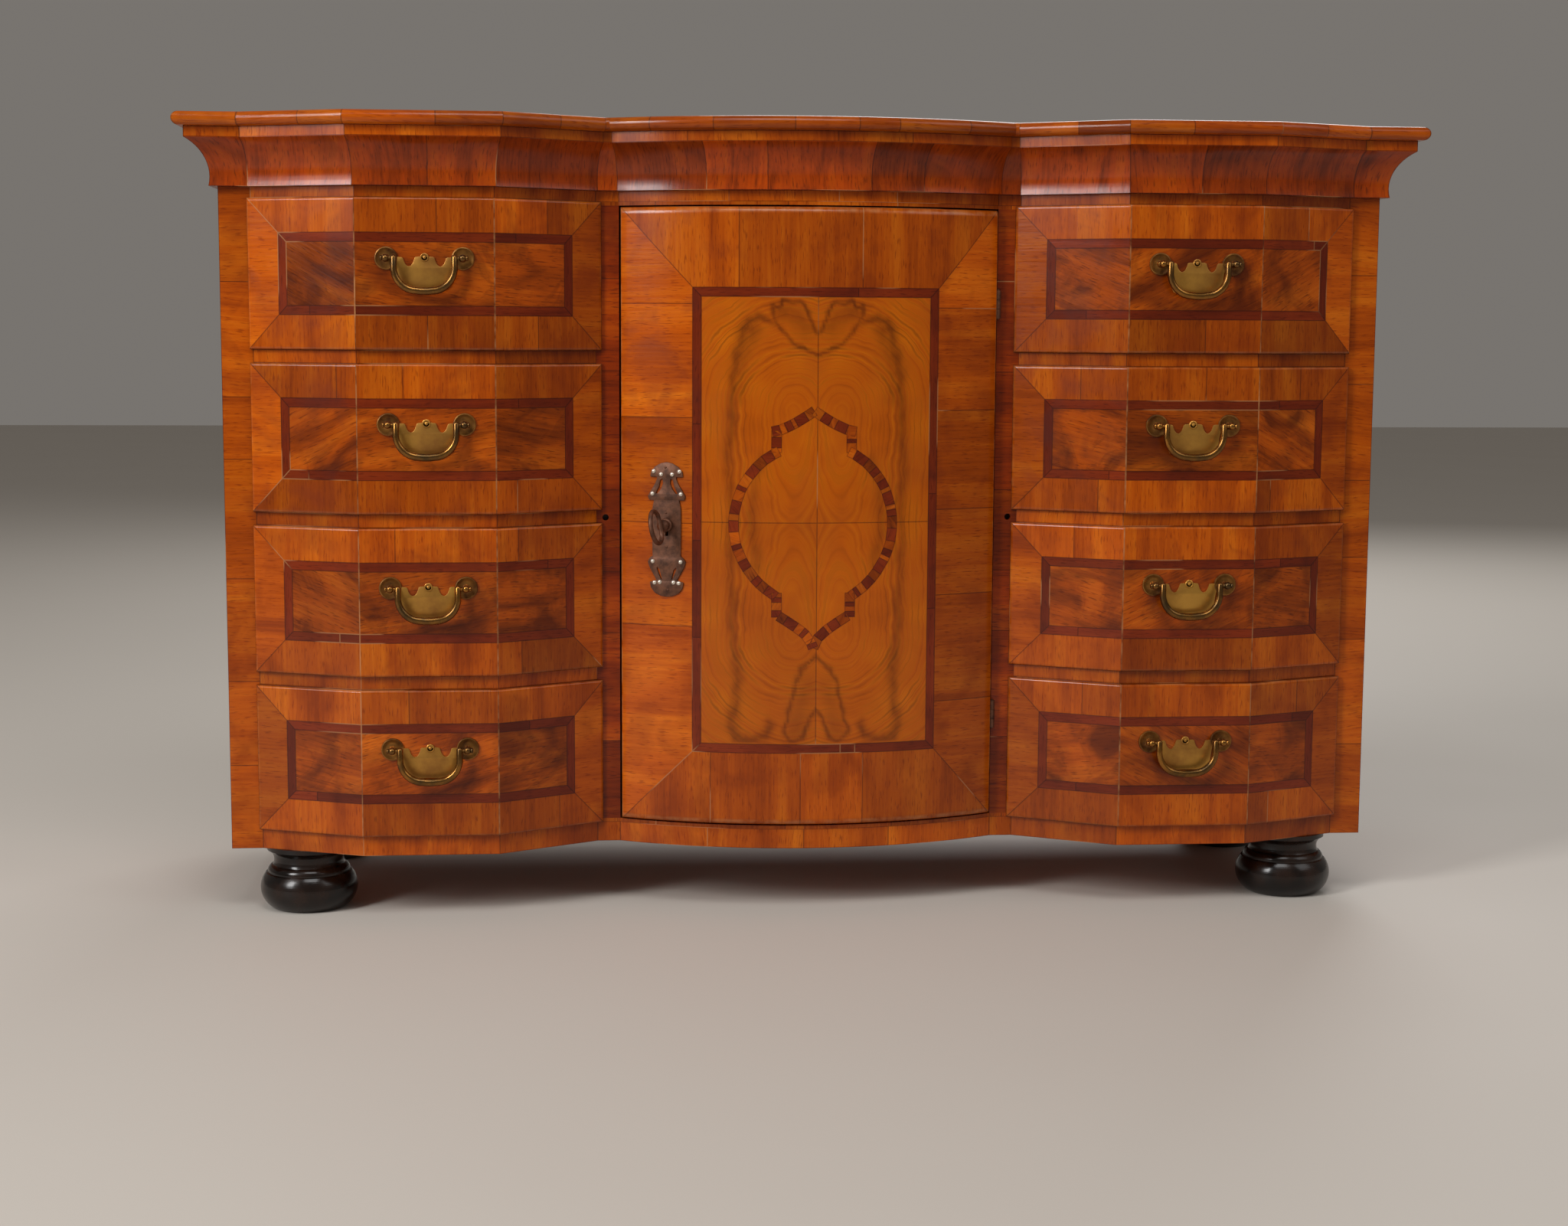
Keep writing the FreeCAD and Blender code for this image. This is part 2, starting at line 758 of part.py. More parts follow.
def key():
    """A key with an oval ring bow and a plain bit, hanging bit down."""
    body = lock_body("key")
    inner = case_depth + s.case_wall + s.seat_gap + s.bit_depth
    bar(body, "Additive", "key_stem", s.key_radius, -s.key_reach, inner)
    low = (-s.bit_thickness / 2, inner - s.bit_depth, -s.bit_drop)
    block(body, "Additive", "key_bit", low, (s.bit_thickness, s.bit_depth, s.bit_drop))
    middle = -s.key_reach - s.bow_width / 2 + s.bow_wire
    for name, wire in (("outer", 0), ("inner", s.bow_wire * 2)):
        half_wide = s.bow_width / 2 - wire
        half_high = s.bow_height / 2 - wire
        oval = [
            (middle - half_wide, 0),
            Via(middle, half_high),
            (middle + half_wide, 0),
            Via(middle, -half_high),
        ]
        ring_outline(body, name, oval, wire)
    node(body, "key")


def ring_outline(body, name, oval, wire):
    """Adds the bow's slab, then cuts its middle out, across the stem."""
    sketch = sketch_in(body, f"key_bow_{name}", "YZ_Plane", oval)
    kind = "Pocket" if isinstance(wire, Length) else "Pad"
    feature = body.newObject(f"PartDesign::{kind}", f"key_bow_{name}_cut")
    feature.Profile = sketch
    feature.Midplane = True
    bind(feature, "Length", s.bow_wire * 2)


# Escutcheon outline, right half from the top down: shares of the width and of the height

escutcheon_shares = [
    Via(0.40, 0.975),
    (0.58, 0.905),
    (0.36, 0.895),
    (0.40, 0.85),
    (0.66, 0.765),
    (0.66, 0.735),
    (0.49, 0.73),
    (0.49, 0.29),
    (0.64, 0.265),
    (0.64, 0.235),
    (0.40, 0.135),
    (0.36, 0.105),
    (0.58, 0.10),
    Via(0.40, 0.03),
]
stud_shares = [(0.48, 0.935), (0.26, 0.915), (0.52, 0.765), (0.50, 0.26), (0.48, 0.1), (0.24, 0.1)]


def escutcheon():
    """A flat iron plate on the door with a crest at each end, and its round-headed studs."""
    low = -s.escutcheon_drop - s.escutcheon_height / 2

    def spot(p, sign):
        return sign * s.escutcheon_width * p[0], low + s.escutcheon_height * p[1]

    right = [Via(*spot(p, 1)) if isinstance(p, Via) else spot(p, 1) for p in escutcheon_shares]
    left = [Via(*spot(p, -1)) if isinstance(p, Via) else spot(p, -1) for p in reversed(escutcheon_shares)]
    outline = [(0, low + s.escutcheon_height)] + right + [(0, low)] + left
    body = lock_body("escutcheon")
    pad(body, sketch_in(body, "escutcheon_plan", "XZ_Plane", outline), s.escutcheon_thickness)
    keyhole(body, "Subtractive", "escutcheon_keyhole", -s.escutcheon_thickness - s.overrun, s.overrun)
    node(body, "escutcheon")
    heads = []
    for n, share in enumerate(stud_shares):
        for sign in SIDES.values():
            stud = doc.addObject("PartDesign::Body", f"stud_{n}_{sign + 1}")
            head = stud.newObject("PartDesign::AdditiveSphere", f"stud_head_{n}_{sign + 1}")
            bind(head, "Radius", s.stud_radius)
            x, z = spot(share, sign)
            place(head, x, -s.escutcheon_thickness - s.stud_radius, z)
            heads.append(at_lock(stud))
    node(boolean("Part::Compound", "escutcheon_studs", heads), "escutcheon_studs")


# Drawers


def drawer_front(label, sign, low):
    """A lipped front in three facets, on a block that fits the opening."""
    lip_front = [
        (stile_inner, -s.front_proud),
        (s.outer_ridge, -s.ridge_forward - s.front_proud),
        (s.inner_ridge, -s.ridge_forward - s.front_proud),
        (s.valley_outer, s.valley_back - s.front_proud),
    ]
    lip_back = [
        (s.valley_outer, s.valley_back - s.seat_gap),
        (s.inner_ridge, -s.ridge_forward - s.seat_gap),
        (s.outer_ridge, -s.ridge_forward - s.seat_gap),
        (stile_inner, -s.seat_gap),
    ]
    outer = opening_outer - s.side_gap
    inner = opening_inner + s.side_gap
    block_plan = [
        (inner, s.front_back),
        (inner, inner_facet_y(inner) - s.seat_gap),
        lip_back[1],
        lip_back[2],
        (outer, facet_y(outer) - s.seat_gap),
        (outer, s.front_back),
    ]
    lip_plan = lip_front + lip_back
    if sign < 0:
        lip_plan, block_plan = mirrored(lip_plan), mirrored(block_plan)
    body = doc.addObject("PartDesign::Body", label)
    pad(body, sketch_in(body, label + "_lip", "XY_Plane", lip_plan), s.drawer_height)
    foot = s.lip_overlap + s.seat_gap
    pad(body, sketch_in(body, label + "_block", "XY_Plane", block_plan, foot), s.drawer_height - 2 * foot)
    place(body, 0, stile_y, low)
    corners = [vector(p) for p in (lip_front if sign > 0 else mirrored(lip_front))]
    top = s.drawer_height.value

    def on_front(vertex):
        return any(math.hypot(vertex.X - c.x, vertex.Y - c.y) < SAME_PLACE for c in corners)

    def front_edge(edge):
        level = all(min(abs(v.Z), abs(v.Z - top)) < SAME_PLACE for v in edge.Vertexes)
        flat = edge.BoundBox.ZLength < SAME_PLACE
        return level and flat and all(on_front(v) for v in edge.Vertexes)

    round_edges(body, front_edge, s.edge_round, label + "_rounded")
    return node(body, label)


def drawer_box(label, sign, low):
    """Two sides and a back standing on a bottom board."""
    inner = opening_inner + s.side_gap
    outer = opening_outer - s.side_gap
    foot = low + s.lip_overlap + s.seat_gap
    front = stile_y + s.front_back
    depth = board_depth - s.drawer_stop - s.front_back
    wall = s.drawer_side
    rise = foot + s.drawer_bottom
    high = s.drawer_height - 2 * s.lip_overlap - s.drawer_headroom - s.drawer_bottom

    def across(near, far):
        return (near if sign > 0 else -far), far - near

    pieces = []
    for name, near, far, start, length, base, tall in (
        ("bottom", inner, outer, front, depth, foot, s.drawer_bottom),
        ("inner_side", inner, inner + wall, front, depth, rise, high),
        ("outer_side", outer - wall, outer, front, depth, rise, high),
        ("back", inner + wall, outer - wall, front + depth - wall, wall, rise, high),
    ):
        x, wide = across(near, far)
        pieces.append(box(f"{label}_{name}", (x, start, base), (wide, length, tall)))
    return node(boolean("Part::Compound", label, pieces), label)


# Handle plate, right half: shares of half the post spacing and of the plate's drop

plate_notch_shares = [
    (0.24, 0.04),
    (0.29, -0.17),
    Via(0.41, -0.30),
    (0.53, -0.17),
    (0.57, 0.02),
    (0.78, 0.02),
]
plate_corner_shares = [(0.98, -0.62), Via(0.93, -0.93), (0.72, -1.0)]


def handle_plate(label, sign, level):
    """A shaped back plate with a roundel behind each post, and the two posts with pierced ball heads."""
    face = stile_y - s.ridge_forward - s.front_proud
    centre = sign * facet_middle
    half = s.post_spacing / 2

    def top(p):
        return half * p[0], s.plate_drop * p[1]

    def corner(p):
        return s.plate_width / 2 * p[0], s.plate_drop * p[1]

    right = [Via(*top(p)) if isinstance(p, Via) else top(p) for p in plate_notch_shares]
    right += [Via(*corner(p)) if isinstance(p, Via) else corner(p) for p in plate_corner_shares]
    outline = right + list(reversed(mirrored(right)))
    body = doc.addObject("PartDesign::Body", label + "_body")
    pad(body, sketch_in(body, label + "_plan", "XZ_Plane", outline), s.plate_thickness)
    place(body, centre, face, level)
    pieces = [body]
    posts = []
    pivot = face - s.post_reach
    out = (0, -1, 0)
    for n, way in enumerate(SIDES.values()):
        at = centre + way * half
        foot = (at, face, level)
        pieces.append(cylinder(f"{label}_roundel_{n}", s.roundel_radius, s.plate_thickness, foot, out))
        start = face - s.plate_thickness
        reach = s.post_reach - s.plate_thickness
        stem = cylinder(f"{label}_stem_{n}", s.post_radius, reach, (at, start, level), out)
        ball = sphere(f"{label}_ball_{n}", s.ball_radius, (at, pivot, level))
        hole_at = (at - s.ball_radius - s.overrun, pivot, level)
        length = 2 * (s.ball_radius + s.overrun)
        hole = cylinder(f"{label}_hole_{n}", s.stub_radius + s.seat_gap, length, hole_at, (1, 0, 0))
        post = boolean("Part::MultiFuse", f"{label}_post_{n}_solid", [stem, ball])
        posts.append(boolean("Part::Cut", f"{label}_post_{n}", (post, hole)))
    boss_height = s.plate_thickness + s.ring_wire
    boss = cylinder(f"{label}_boss", s.ring_radius, boss_height, (centre, face, level), out)
    plate = boolean("Part::MultiFuse", label + "_plate", pieces + [boss])
    return node(boolean("Part::Compound", label, [plate] + posts), label)


def bail(label, sign, level):
    """A bent rod that hangs from the posts by two turned-out ends."""
    pivot = stile_y - s.ridge_forward - s.front_proud - s.post_reach
    centre = sign * facet_middle
    half = s.bail_width / 2
    bend = s.bail_corner
    turn_in = bend * (1 - math.sqrt(0.5))
    path = doc.addObject("Sketcher::SketchObject", label + "_path")
    draw(path, [
        (-half, 0),
        (-half, bend - s.bail_drop),
        Via(turn_in - half, turn_in - s.bail_drop),
        (bend - half, -s.bail_drop),
        (half - bend, -s.bail_drop),
        Via(half - turn_in, turn_in - s.bail_drop),
        (half, bend - s.bail_drop),
        (half, 0),
    ], closed=False)
    turn(path, (1, 0, 0), TURN / 4)
    place(path, centre, pivot, level)
    section = doc.addObject("Part::Circle", label + "_section")
    bind(section, "Radius", s.bail_wire)
    place(section, centre - half, pivot, level)
    rod = doc.addObject("Part::Sweep", label + "_rod")
    rod.Sections = [section]
    rod.Spine = (path, [])
    rod.Solid = True
    pieces = [rod]
    reach = s.post_spacing / 2 + s.ball_radius / 2 - half
    for n, way in enumerate(SIDES.values()):
        at = centre + way * half
        pieces.append(sphere(f"{label}_knob_{n}", s.bail_wire, (at, pivot, level)))
        pieces.append(cylinder(f"{label}_stub_{n}", s.stub_radius, reach, (at, pivot, level), (way, 0, 0)))
    return node(boolean("Part::MultiFuse", label, pieces), label)


def drawers():
    for side, sign in SIDES.items():
        for row in range(1, DRAWERS + 1):
            low = drawers_low + (DRAWERS - row) * drawer_pitch
            level = low + s.drawer_height / 2 + s.post_rise
            drawer_front(f"drawer_{side}_{row}_front", sign, low)
            drawer_box(f"drawer_{side}_{row}_box", sign, low)
            handle_plate(f"handle_plate_{side}_{row}", sign, level)
            bail(f"bail_{side}_{row}", sign, level)


def write_parts():
    doc.recompute()
    for obj in doc.Objects:
        if "Invalid" in obj.State or "Error" in obj.State:
            raise RuntimeError(f"{obj.Label} did not compute: {obj.State}")
    for label, obj in nodes.items():
        if obj.Shape.isNull() or not obj.Shape.isValid():
            raise RuntimeError(f"{label} has no valid shape")
    os.makedirs("parts", exist_ok=True)
    for label, obj in nodes.items():
        obj.Shape.exportStep(f"parts/{label}.step")


carcass()
dust_boards()
partitions()
mouldings()
feet()
door()
hinges()
lock()
key()
escutcheon()
drawers()
write_parts()
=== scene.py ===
"""Veneers, mounts and finishes for a small serpentine walnut cabinet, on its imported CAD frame."""

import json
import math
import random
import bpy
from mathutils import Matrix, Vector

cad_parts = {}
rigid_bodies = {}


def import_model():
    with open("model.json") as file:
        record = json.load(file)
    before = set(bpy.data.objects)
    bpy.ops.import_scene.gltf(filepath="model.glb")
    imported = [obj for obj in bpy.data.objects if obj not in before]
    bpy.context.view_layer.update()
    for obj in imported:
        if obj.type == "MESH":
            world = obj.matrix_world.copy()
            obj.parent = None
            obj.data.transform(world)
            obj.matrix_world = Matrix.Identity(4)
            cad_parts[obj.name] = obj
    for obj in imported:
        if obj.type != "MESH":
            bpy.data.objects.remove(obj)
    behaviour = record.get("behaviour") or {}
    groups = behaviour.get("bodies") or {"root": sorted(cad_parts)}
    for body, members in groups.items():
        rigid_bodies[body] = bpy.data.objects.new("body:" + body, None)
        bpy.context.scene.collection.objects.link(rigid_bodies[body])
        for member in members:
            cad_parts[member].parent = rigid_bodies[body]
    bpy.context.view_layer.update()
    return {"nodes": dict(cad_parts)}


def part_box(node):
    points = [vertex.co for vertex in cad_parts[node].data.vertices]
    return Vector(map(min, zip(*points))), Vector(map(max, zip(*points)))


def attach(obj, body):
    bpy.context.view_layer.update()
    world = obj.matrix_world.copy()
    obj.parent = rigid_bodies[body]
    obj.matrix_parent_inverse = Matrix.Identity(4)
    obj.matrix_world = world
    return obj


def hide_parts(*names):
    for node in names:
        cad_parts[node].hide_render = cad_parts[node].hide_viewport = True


bl_info = {
    "name": "Serpentine walnut cabinet",
    "version": (1, 0, 0),
    "blender": (4, 5, 0),
    "location": "View3D > Sidebar > Cabinet",
    "description": "Veneers, mounts and finishes for a small table-top cabinet",
    "category": "Object",
}

from functools import partial

import bmesh
import bpy
from bpy.props import FloatProperty, FloatVectorProperty, PointerProperty
from mathutils import Matrix, Vector, noise

for leftover in list(bpy.data.objects):
    bpy.data.objects.remove(leftover)
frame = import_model()
NODES = frame["nodes"]
SIDES = {"left": -1, "right": 1}
ROWS = (1, 2, 3, 4)
MM = 0.001
SUNK = 0.1 * MM  # mounts and blocks sink this far into the wood behind them
SLIT = 0.2 * MM  # facings stop this far from a drawer front
CLOSE = 1e-6  # metres; places nearer than this are one place


def linear(code):
    """A colour written as sRGB hex, as linear RGBA."""
    parts = [int(code[i : i + 2], 16) / 255 for i in (1, 3, 5)]
    return tuple(c / 12.92 if c <= 0.04045 else ((c + 0.055) / 1.055) ** 2.4 for c in parts) + (1.0,)


def length(name, description, millimetres):
    return FloatProperty(name=name, description=description, default=millimetres * MM, unit="LENGTH",
                         precision=5)


def colour(name, description, code):
    return FloatVectorProperty(name=name, description=description, default=linear(code), subtype="COLOR", size=4)


class CabinetPlan(bpy.types.PropertyGroup):
    """Where the fronts run in plan; Y values are places in the model's frame."""

    stile_plane: length("Stile plane", "Y of the outer stiles' faces", -100.8)
    stile_inner: length("Stile edge", "Inner edge of the outer stile from the middle", 426)
    outer_ridge: length("Outer ridge", "Outer ridge of a drawer bank from the middle", 346)
    inner_ridge: length("Inner ridge", "Inner ridge of a drawer bank from the middle", 242)
    valley_outer: length("Valley edge", "Outer edge of the strip beside the door", 166)
    valley_inner: length("Bow edge", "Where the bow of the door's place begins", 148)
    ridge_forward: length("Ridge forward", "Ridges stand this far before the stiles", 34)
    valley_back: length("Valley back", "Valleys lie this far behind the stiles", 10)
    bow_rise: length("Bow rise", "Rise of the bow over its ends", 39)
    front_proud: length("Front proud", "Drawer fronts and door stand this far before the carcass", 5.5)


class VeneerSizes(bpy.types.PropertyGroup):
    """Leaves, bands and edges of the veneered fronts."""

    drawer_border: length("Drawer border", "Width of the crossbanding on a drawer", 26)
    band: length("Dark band", "Width of the dark band inside the crossbanding", 7)
    door_left: length("Door border, left", "Width of the door's crossbanding on the lock side", 59)
    door_right: length("Door border, right", "Width of the door's crossbanding on the hinge side", 54)
    door_top: length("Door border, top", "Width of the door's crossbanding at the top", 61)
    door_bottom: length("Door border, bottom", "Width of the door's crossbanding at the bottom", 57)
    edge_round: length("Drawer edge", "Rounding of a drawer front's edge", 2)
    door_round: length("Door edge", "Quarter round at the door's top and bottom", 5)
    ridge_round: length("Ridge round", "Wear rounding of the ridges", 4)
    lip: length("Lip", "Thickness of a drawer front's lip", 5.2)
    lap_inner: length("Lap, inner", "Drawer fronts lap this far over the strips beside the door", 4.5)
    lap_outer: length("Lap, outer", "Drawer fronts lap this far over the outer stiles", 2.5)
    seat: length("Seat", "Air between a lip and the wood behind it", 0.3)
    block_inset: length("Block inset", "The block behind a lip is this much smaller all round", 2.8)
    nosing_lift: length("Nosing lift", "The cornice's fillet rises this far behind the nosing", 2.5)
    cartouche_band: length("Cartouche band", "Width of the chequered band on the door", 8)
    cartouche_tile: length("Cartouche tile", "Length of one tile of that band", 11)


class MountSizes(bpy.types.PropertyGroup):
    """Handles, escutcheon and key."""

    post_spacing: length("Post spacing", "Between a handle's two posts", 57)
    post_rise: length("Post rise", "Posts above the middle of the drawer", 11.5)
    post_reach: length("Post reach", "From the drawer's face to the bail's pivot", 9)
    roundel: length("Roundel", "Radius of the disc behind a post", 8.7)
    plate: length("Plate", "Thickness of a handle's plate", 1.6)
    bail_half: length("Bail half width", "Half the width of a bail at its legs", 22.5)
    bail_drop: length("Bail drop", "From the pivot down to the bail's middle line", 24)
    bail_rod: length("Bail rod", "Radius of a bail at its legs", 2.4)
    key_across: length("Key place", "Key from the middle of the door", 112)
    key_level: length("Key level", "Height of the key", 303)
    escutcheon: length("Escutcheon", "Thickness of the escutcheon", 1.4)
    stud: length("Stud", "Radius of an escutcheon stud", 1.75)


class FinishColours(bpy.types.PropertyGroup):
    """Colours of the finishes."""

    border_light: colour("Border, light", "Pale figure of the crossbanding", "#c8690d")
    border_mid: colour("Border, middle", "Body colour of the crossbanding", "#a84902")
    border_dark: colour("Border, dark", "Dark streaks of the crossbanding", "#702400")
    # Darker than the border: partly the cove's own figure, partly painted shade under the nosing's overhang
    cove: colour("Cornice", "Body colour of the cornice's cove", "#983803")
    # Darker than the border: partly the strips' own redder wood, partly painted shade cast by the drawer banks
    valley: colour("Valley strips", "Body colour of the strips beside the door", "#7e2a02")
    field_light: colour("Field, light", "Pale figure of the drawers' fields", "#c46410")
    field_mid: colour("Field, middle", "Body colour of the drawers' fields", "#9c4204")
    field_dark: colour("Field, dark", "Smoky figure of the drawers' fields", "#451402")
    flame_light: colour("Flame, light", "Golden figure of the door's field", "#c56804")
    flame_mid: colour("Flame, middle", "Body colour of the door's field", "#ae5003")
    flame_dark: colour("Flame, dark", "Smoky lines of the door's field", "#562102")
    band_light: colour("Band, light", "Pale streaks of the dark band", "#83300d")
    band_mid: colour("Band, middle", "Body colour of the dark band", "#6b2207")
    band_dark: colour("Band, dark", "Dark streaks of the dark band", "#471204")
    # Pale wear and painted highlights along ridges and edges; also the pale old wax in some joints
    wear_and_sheen: colour("Worn edge", "Rubbed ridges and edges", "#cf9560")
    joint: colour("Joint", "Glue and dirt between leaves", "#260d06")
    pine_light: colour("Pine, light", "Early wood of the softwood", "#b98a55")
    pine_mid: colour("Pine, middle", "Body colour of the softwood", "#9c6c3b")
    pine_dark: colour("Pine, dark", "Late wood of the softwood", "#6f4521")
    ebony: colour("Ebonised wood", "Black stain on the feet", "#0d0705")
    ebony_rubbed: colour("Ebonised wood, rubbed", "Brown where the stain is rubbed", "#27160d")
    brass_bright: colour("Brass, bright", "Rubbed brass", "#cb9642")
    brass_dull: colour("Brass, dull", "Brown patina on the brass", "#9f6d32")
    brass_dark: colour("Brass, dark", "Bails darkened by the hand", "#57442c")
    brass_brown: colour("Brass, brown", "Browned roundels and posts", "#553218")
    iron_bright: colour("Iron, bright", "Rubbed iron", "#734a35")
    iron_dull: colour("Iron, dull", "Browned iron", "#492d1f")
    stud: colour("Stud", "Polished stud heads", "#dccfbe")
    floor: colour("Floor", "Plain pale floor", "#c8c1b8")


def settings(*names):
    """Some of the cabinet's property groups."""
    return [getattr(bpy.context.scene, "cabinet_" + name) for name in names]


# Materials


def add(tree, kind, values=(), out=0, stops=(), **options):
    """Adds one node: inputs in order or by name, as values or sockets; gives back one of its outputs."""
    node = tree.nodes.new(kind if "Node" in kind else "ShaderNode" + kind)
    for name, value in options.items():
        setattr(node, name, value)
    for name, value in values.items() if isinstance(values, dict) else enumerate(values):
        if isinstance(value, bpy.types.NodeSocket):
            tree.links.new(value, node.inputs[name])
        else:
            node.inputs[name].default_value = value
    for _ in stops[2:]:
        node.color_ramp.elements.new(1.0)
    for i, (position, tint) in enumerate(stops):
        node.color_ramp.elements[i].position = position
        node.color_ramp.elements[i].color = tint
    return node.outputs[out] if node.outputs else node


def blank(name):
    """A material without nodes, and what adds nodes to it."""
    material = bpy.data.materials.new(name)
    material.use_nodes = True
    material.node_tree.nodes.clear()
    return material, partial(add, material.node_tree)


def leaf_inputs(node):
    """Grain coordinates, tone, pale wear with painted highlights and distance to the nearest joint of leaves laid one
    by one.
    """
    tone, wear_and_sheen = (node("Attribute", out="Fac", attribute_name=name) for name in ("tone", "wear_and_sheen"))
    near = []
    for name in ("rim_a", "rim_b"):
        pair = node("SeparateXYZ", [node("UVMap", uv_map=name)]).node.outputs
        near.append(node("Math", (pair[0], pair[1]), operation="MINIMUM"))
    return node("UVMap", uv_map="grain"), tone, wear_and_sheen, node("Math", near, operation="MINIMUM")


def stacked_inputs(node, grain_axis, stack_axis, width, flank=False):
    """The same for leaves laid side by side along one axis of the cabinet, about so wide; they have no wear and no
    painted highlight.
    """
    place = node("TexCoord", out="Object")
    if flank:
        # Faces that look sideways have upright grain
        looks = node("SeparateXYZ", [node("NewGeometry", out="Normal")])
        size = node("Math", [looks], operation="ABSOLUTE")
        sideways = node("Math", (size, 0.7), operation="GREATER_THAN")
        axes = node("SeparateXYZ", [place]).node.outputs
        upright = node("CombineXYZ", (axes[2], axes[0], axes[1]))
        place = node("Mix", {0: sideways, 4: place, 5: upright}, 1, data_type="VECTOR")
    parts = node("SeparateXYZ", [place]).node.outputs
    along, stack, depth = (parts[i] for i in (grain_axis, stack_axis, 3 - grain_axis - stack_axis))
    count = node("Math", (stack, 1 / width), operation="MULTIPLY")
    cells = {"W": count, "Scale": 1.0, "Randomness": 0.7}
    cell = node("TexVoronoi", cells, "Color", voronoi_dimensions="1D")
    edge = node("TexVoronoi", cells, "Distance", voronoi_dimensions="1D", feature="DISTANCE_TO_EDGE")
    chance = node("SeparateXYZ", [cell])
    tone = node("Math", (chance, 2.0, -1.0), operation="MULTIPLY_ADD")
    rim = node("Math", (edge, width), operation="MULTIPLY")
    shifted = node("Math", (chance, 3.7, along), operation="MULTIPLY_ADD")
    return node("CombineXYZ", (shifted, stack, depth)), tone, None, rim


def polished_wood(node, body, tone, wear_and_sheen, rim, fibres, tints, mottle):
    """Tone of each leaf, smoky patches, joints, rubbed edges with painted highlights and an uneven old shellac
    polish.
    """
    (colours,) = settings("colours")
    place = node("TexCoord", out="Object")
    # Stains about 35 mm across and waves in the ground about 45 mm long
    stain = node("TexNoise", {"Vector": place, "Scale": 28.0, "Detail": 3.0, "Distortion": 0.6})
    smoke = node("MapRange", (stain, 0.48, 0.74, 0.0, mottle))
    value = node("Math", (tone, 0.26, 1.0), operation="MULTIPLY_ADD")
    toned = node("HueSaturation", {"Value": value, "Color": body})
    stained = node("Mix", {0: smoke, 6: toned, 7: tints[2]}, 2, data_type="RGBA")
    # Joints are drawn 0.6 mm wide, coarser than the real glue line, so that they show; some hold pale old wax
    seam = node("MapRange", (rim, 0.1 * MM, 0.6 * MM, 0.65, 0.0))
    filler = node("TexNoise", {"Vector": place, "Scale": 13.0, "Detail": 1.0})
    waxed = node("MapRange", (filler, 0.6, 0.64, 0.0, 0.6))
    glue = node("Mix", {0: waxed, 6: tuple(colours.joint), 7: tuple(colours.wear_and_sheen)}, 2, data_type="RGBA")
    face = node("Mix", {0: seam, 6: stained, 7: glue}, 2, data_type="RGBA")
    if wear_and_sheen:
        # Rubbed patches about 8 mm long: pale wear with a painted highlight on ridges and edges
        patchy = node("TexNoise", {"Vector": place, "Scale": 120.0, "Detail": 2.0})
        chance = node("MapRange", (patchy, 0.35, 0.65, 0.05, 0.6))
        rubbed = node("Math", (wear_and_sheen, chance), operation="MULTIPLY")
        face = node("Mix", {0: rubbed, 6: face, 7: tuple(colours.wear_and_sheen)}, 2, data_type="RGBA")
    gloss = node("MapRange", (stain, 0.3, 0.7, 0.15, 0.26))
    wave = node("TexNoise", {"Vector": place, "Scale": 22.0, "Detail": 1.0})
    ground = node("Bump", {"Height": wave, "Distance": 0.6 * MM, "Strength": 0.5})
    grained = node("Bump", {"Height": fibres, "Distance": 0.12 * MM, "Strength": 0.5, "Normal": ground})
    surface = node("BsdfPrincipled", {"Base Color": face, "Roughness": gloss, "Normal": grained, "IOR": 1.5,
                                      "Specular IOR Level": 0.28})
    node("OutputMaterial", [surface])


def walnut(name, tints, layout=None, figure=(5.0, 36.0), swirl=0.6, veins=0.0, mottle=0.6):
    """Sliced wood under shellac: long fibres over broad figure, dark pores, each leaf its own tone."""
    material, node = blank(name)
    grain, tone, wear_and_sheen, rim = stacked_inputs(node, *layout) if layout else leaf_inputs(node)
    # Broad figure, fibres about 2.4 mm wide, and pores drawn 1 mm wide and 9 mm long, coarser than in the wood,
    # so that they show: waves to the metre along and across the grain, detail, swirl
    patterns = ((*figure, 2.5, swirl), (16.0, 420.0, 3.0, 0.0), (110.0, 900.0, 1.0, 0.0))
    bands, fibres, dots = (
        node("TexNoise", {"Vector": node("Mapping", {"Vector": grain, "Scale": (along, across, across)}),
                          "Scale": 1.0, "Detail": detail, "Distortion": bend})
        for along, across, detail, bend in patterns)
    mixed = node("Mix", {0: 0.3, 2: bands, 3: fibres})
    body = node("ValToRGB", [mixed], stops=[(0.24, tints[2]), (0.5, tints[1]), (0.76, tints[0])])
    dark = node("MapRange", (dots, 0.58, 0.7, 0.0, 0.6))
    body = node("Mix", {0: dark, 6: body, 7: tints[2]}, 2, data_type="RGBA")
    if veins:
        # Smoky clouds 60 to 80 mm across and thin dark veins at their borders
        large = node("Mapping", {"Vector": grain, "Scale": (13.0, 17.0, 15.0)})
        cloud = node("TexNoise", {"Vector": large, "Scale": 1.0, "Detail": 4.0, "Distortion": 1.8})
        smoke = node("MapRange", (cloud, 0.48, 0.66, 0.0, veins))
        middle = node("Math", (cloud, 0.5), operation="SUBTRACT")
        away = node("Math", [middle], operation="ABSOLUTE")
        vein = node("MapRange", (away, 0.0, 0.04, 0.4 * veins, 0.0))
        dark = node("Math", (smoke, vein), operation="MAXIMUM")
        body = node("Mix", {0: dark, 6: body, 7: tints[2]}, 2, data_type="RGBA")
    polished_wood(node, body, tone, wear_and_sheen, rim, fibres, tints, mottle)
    return material


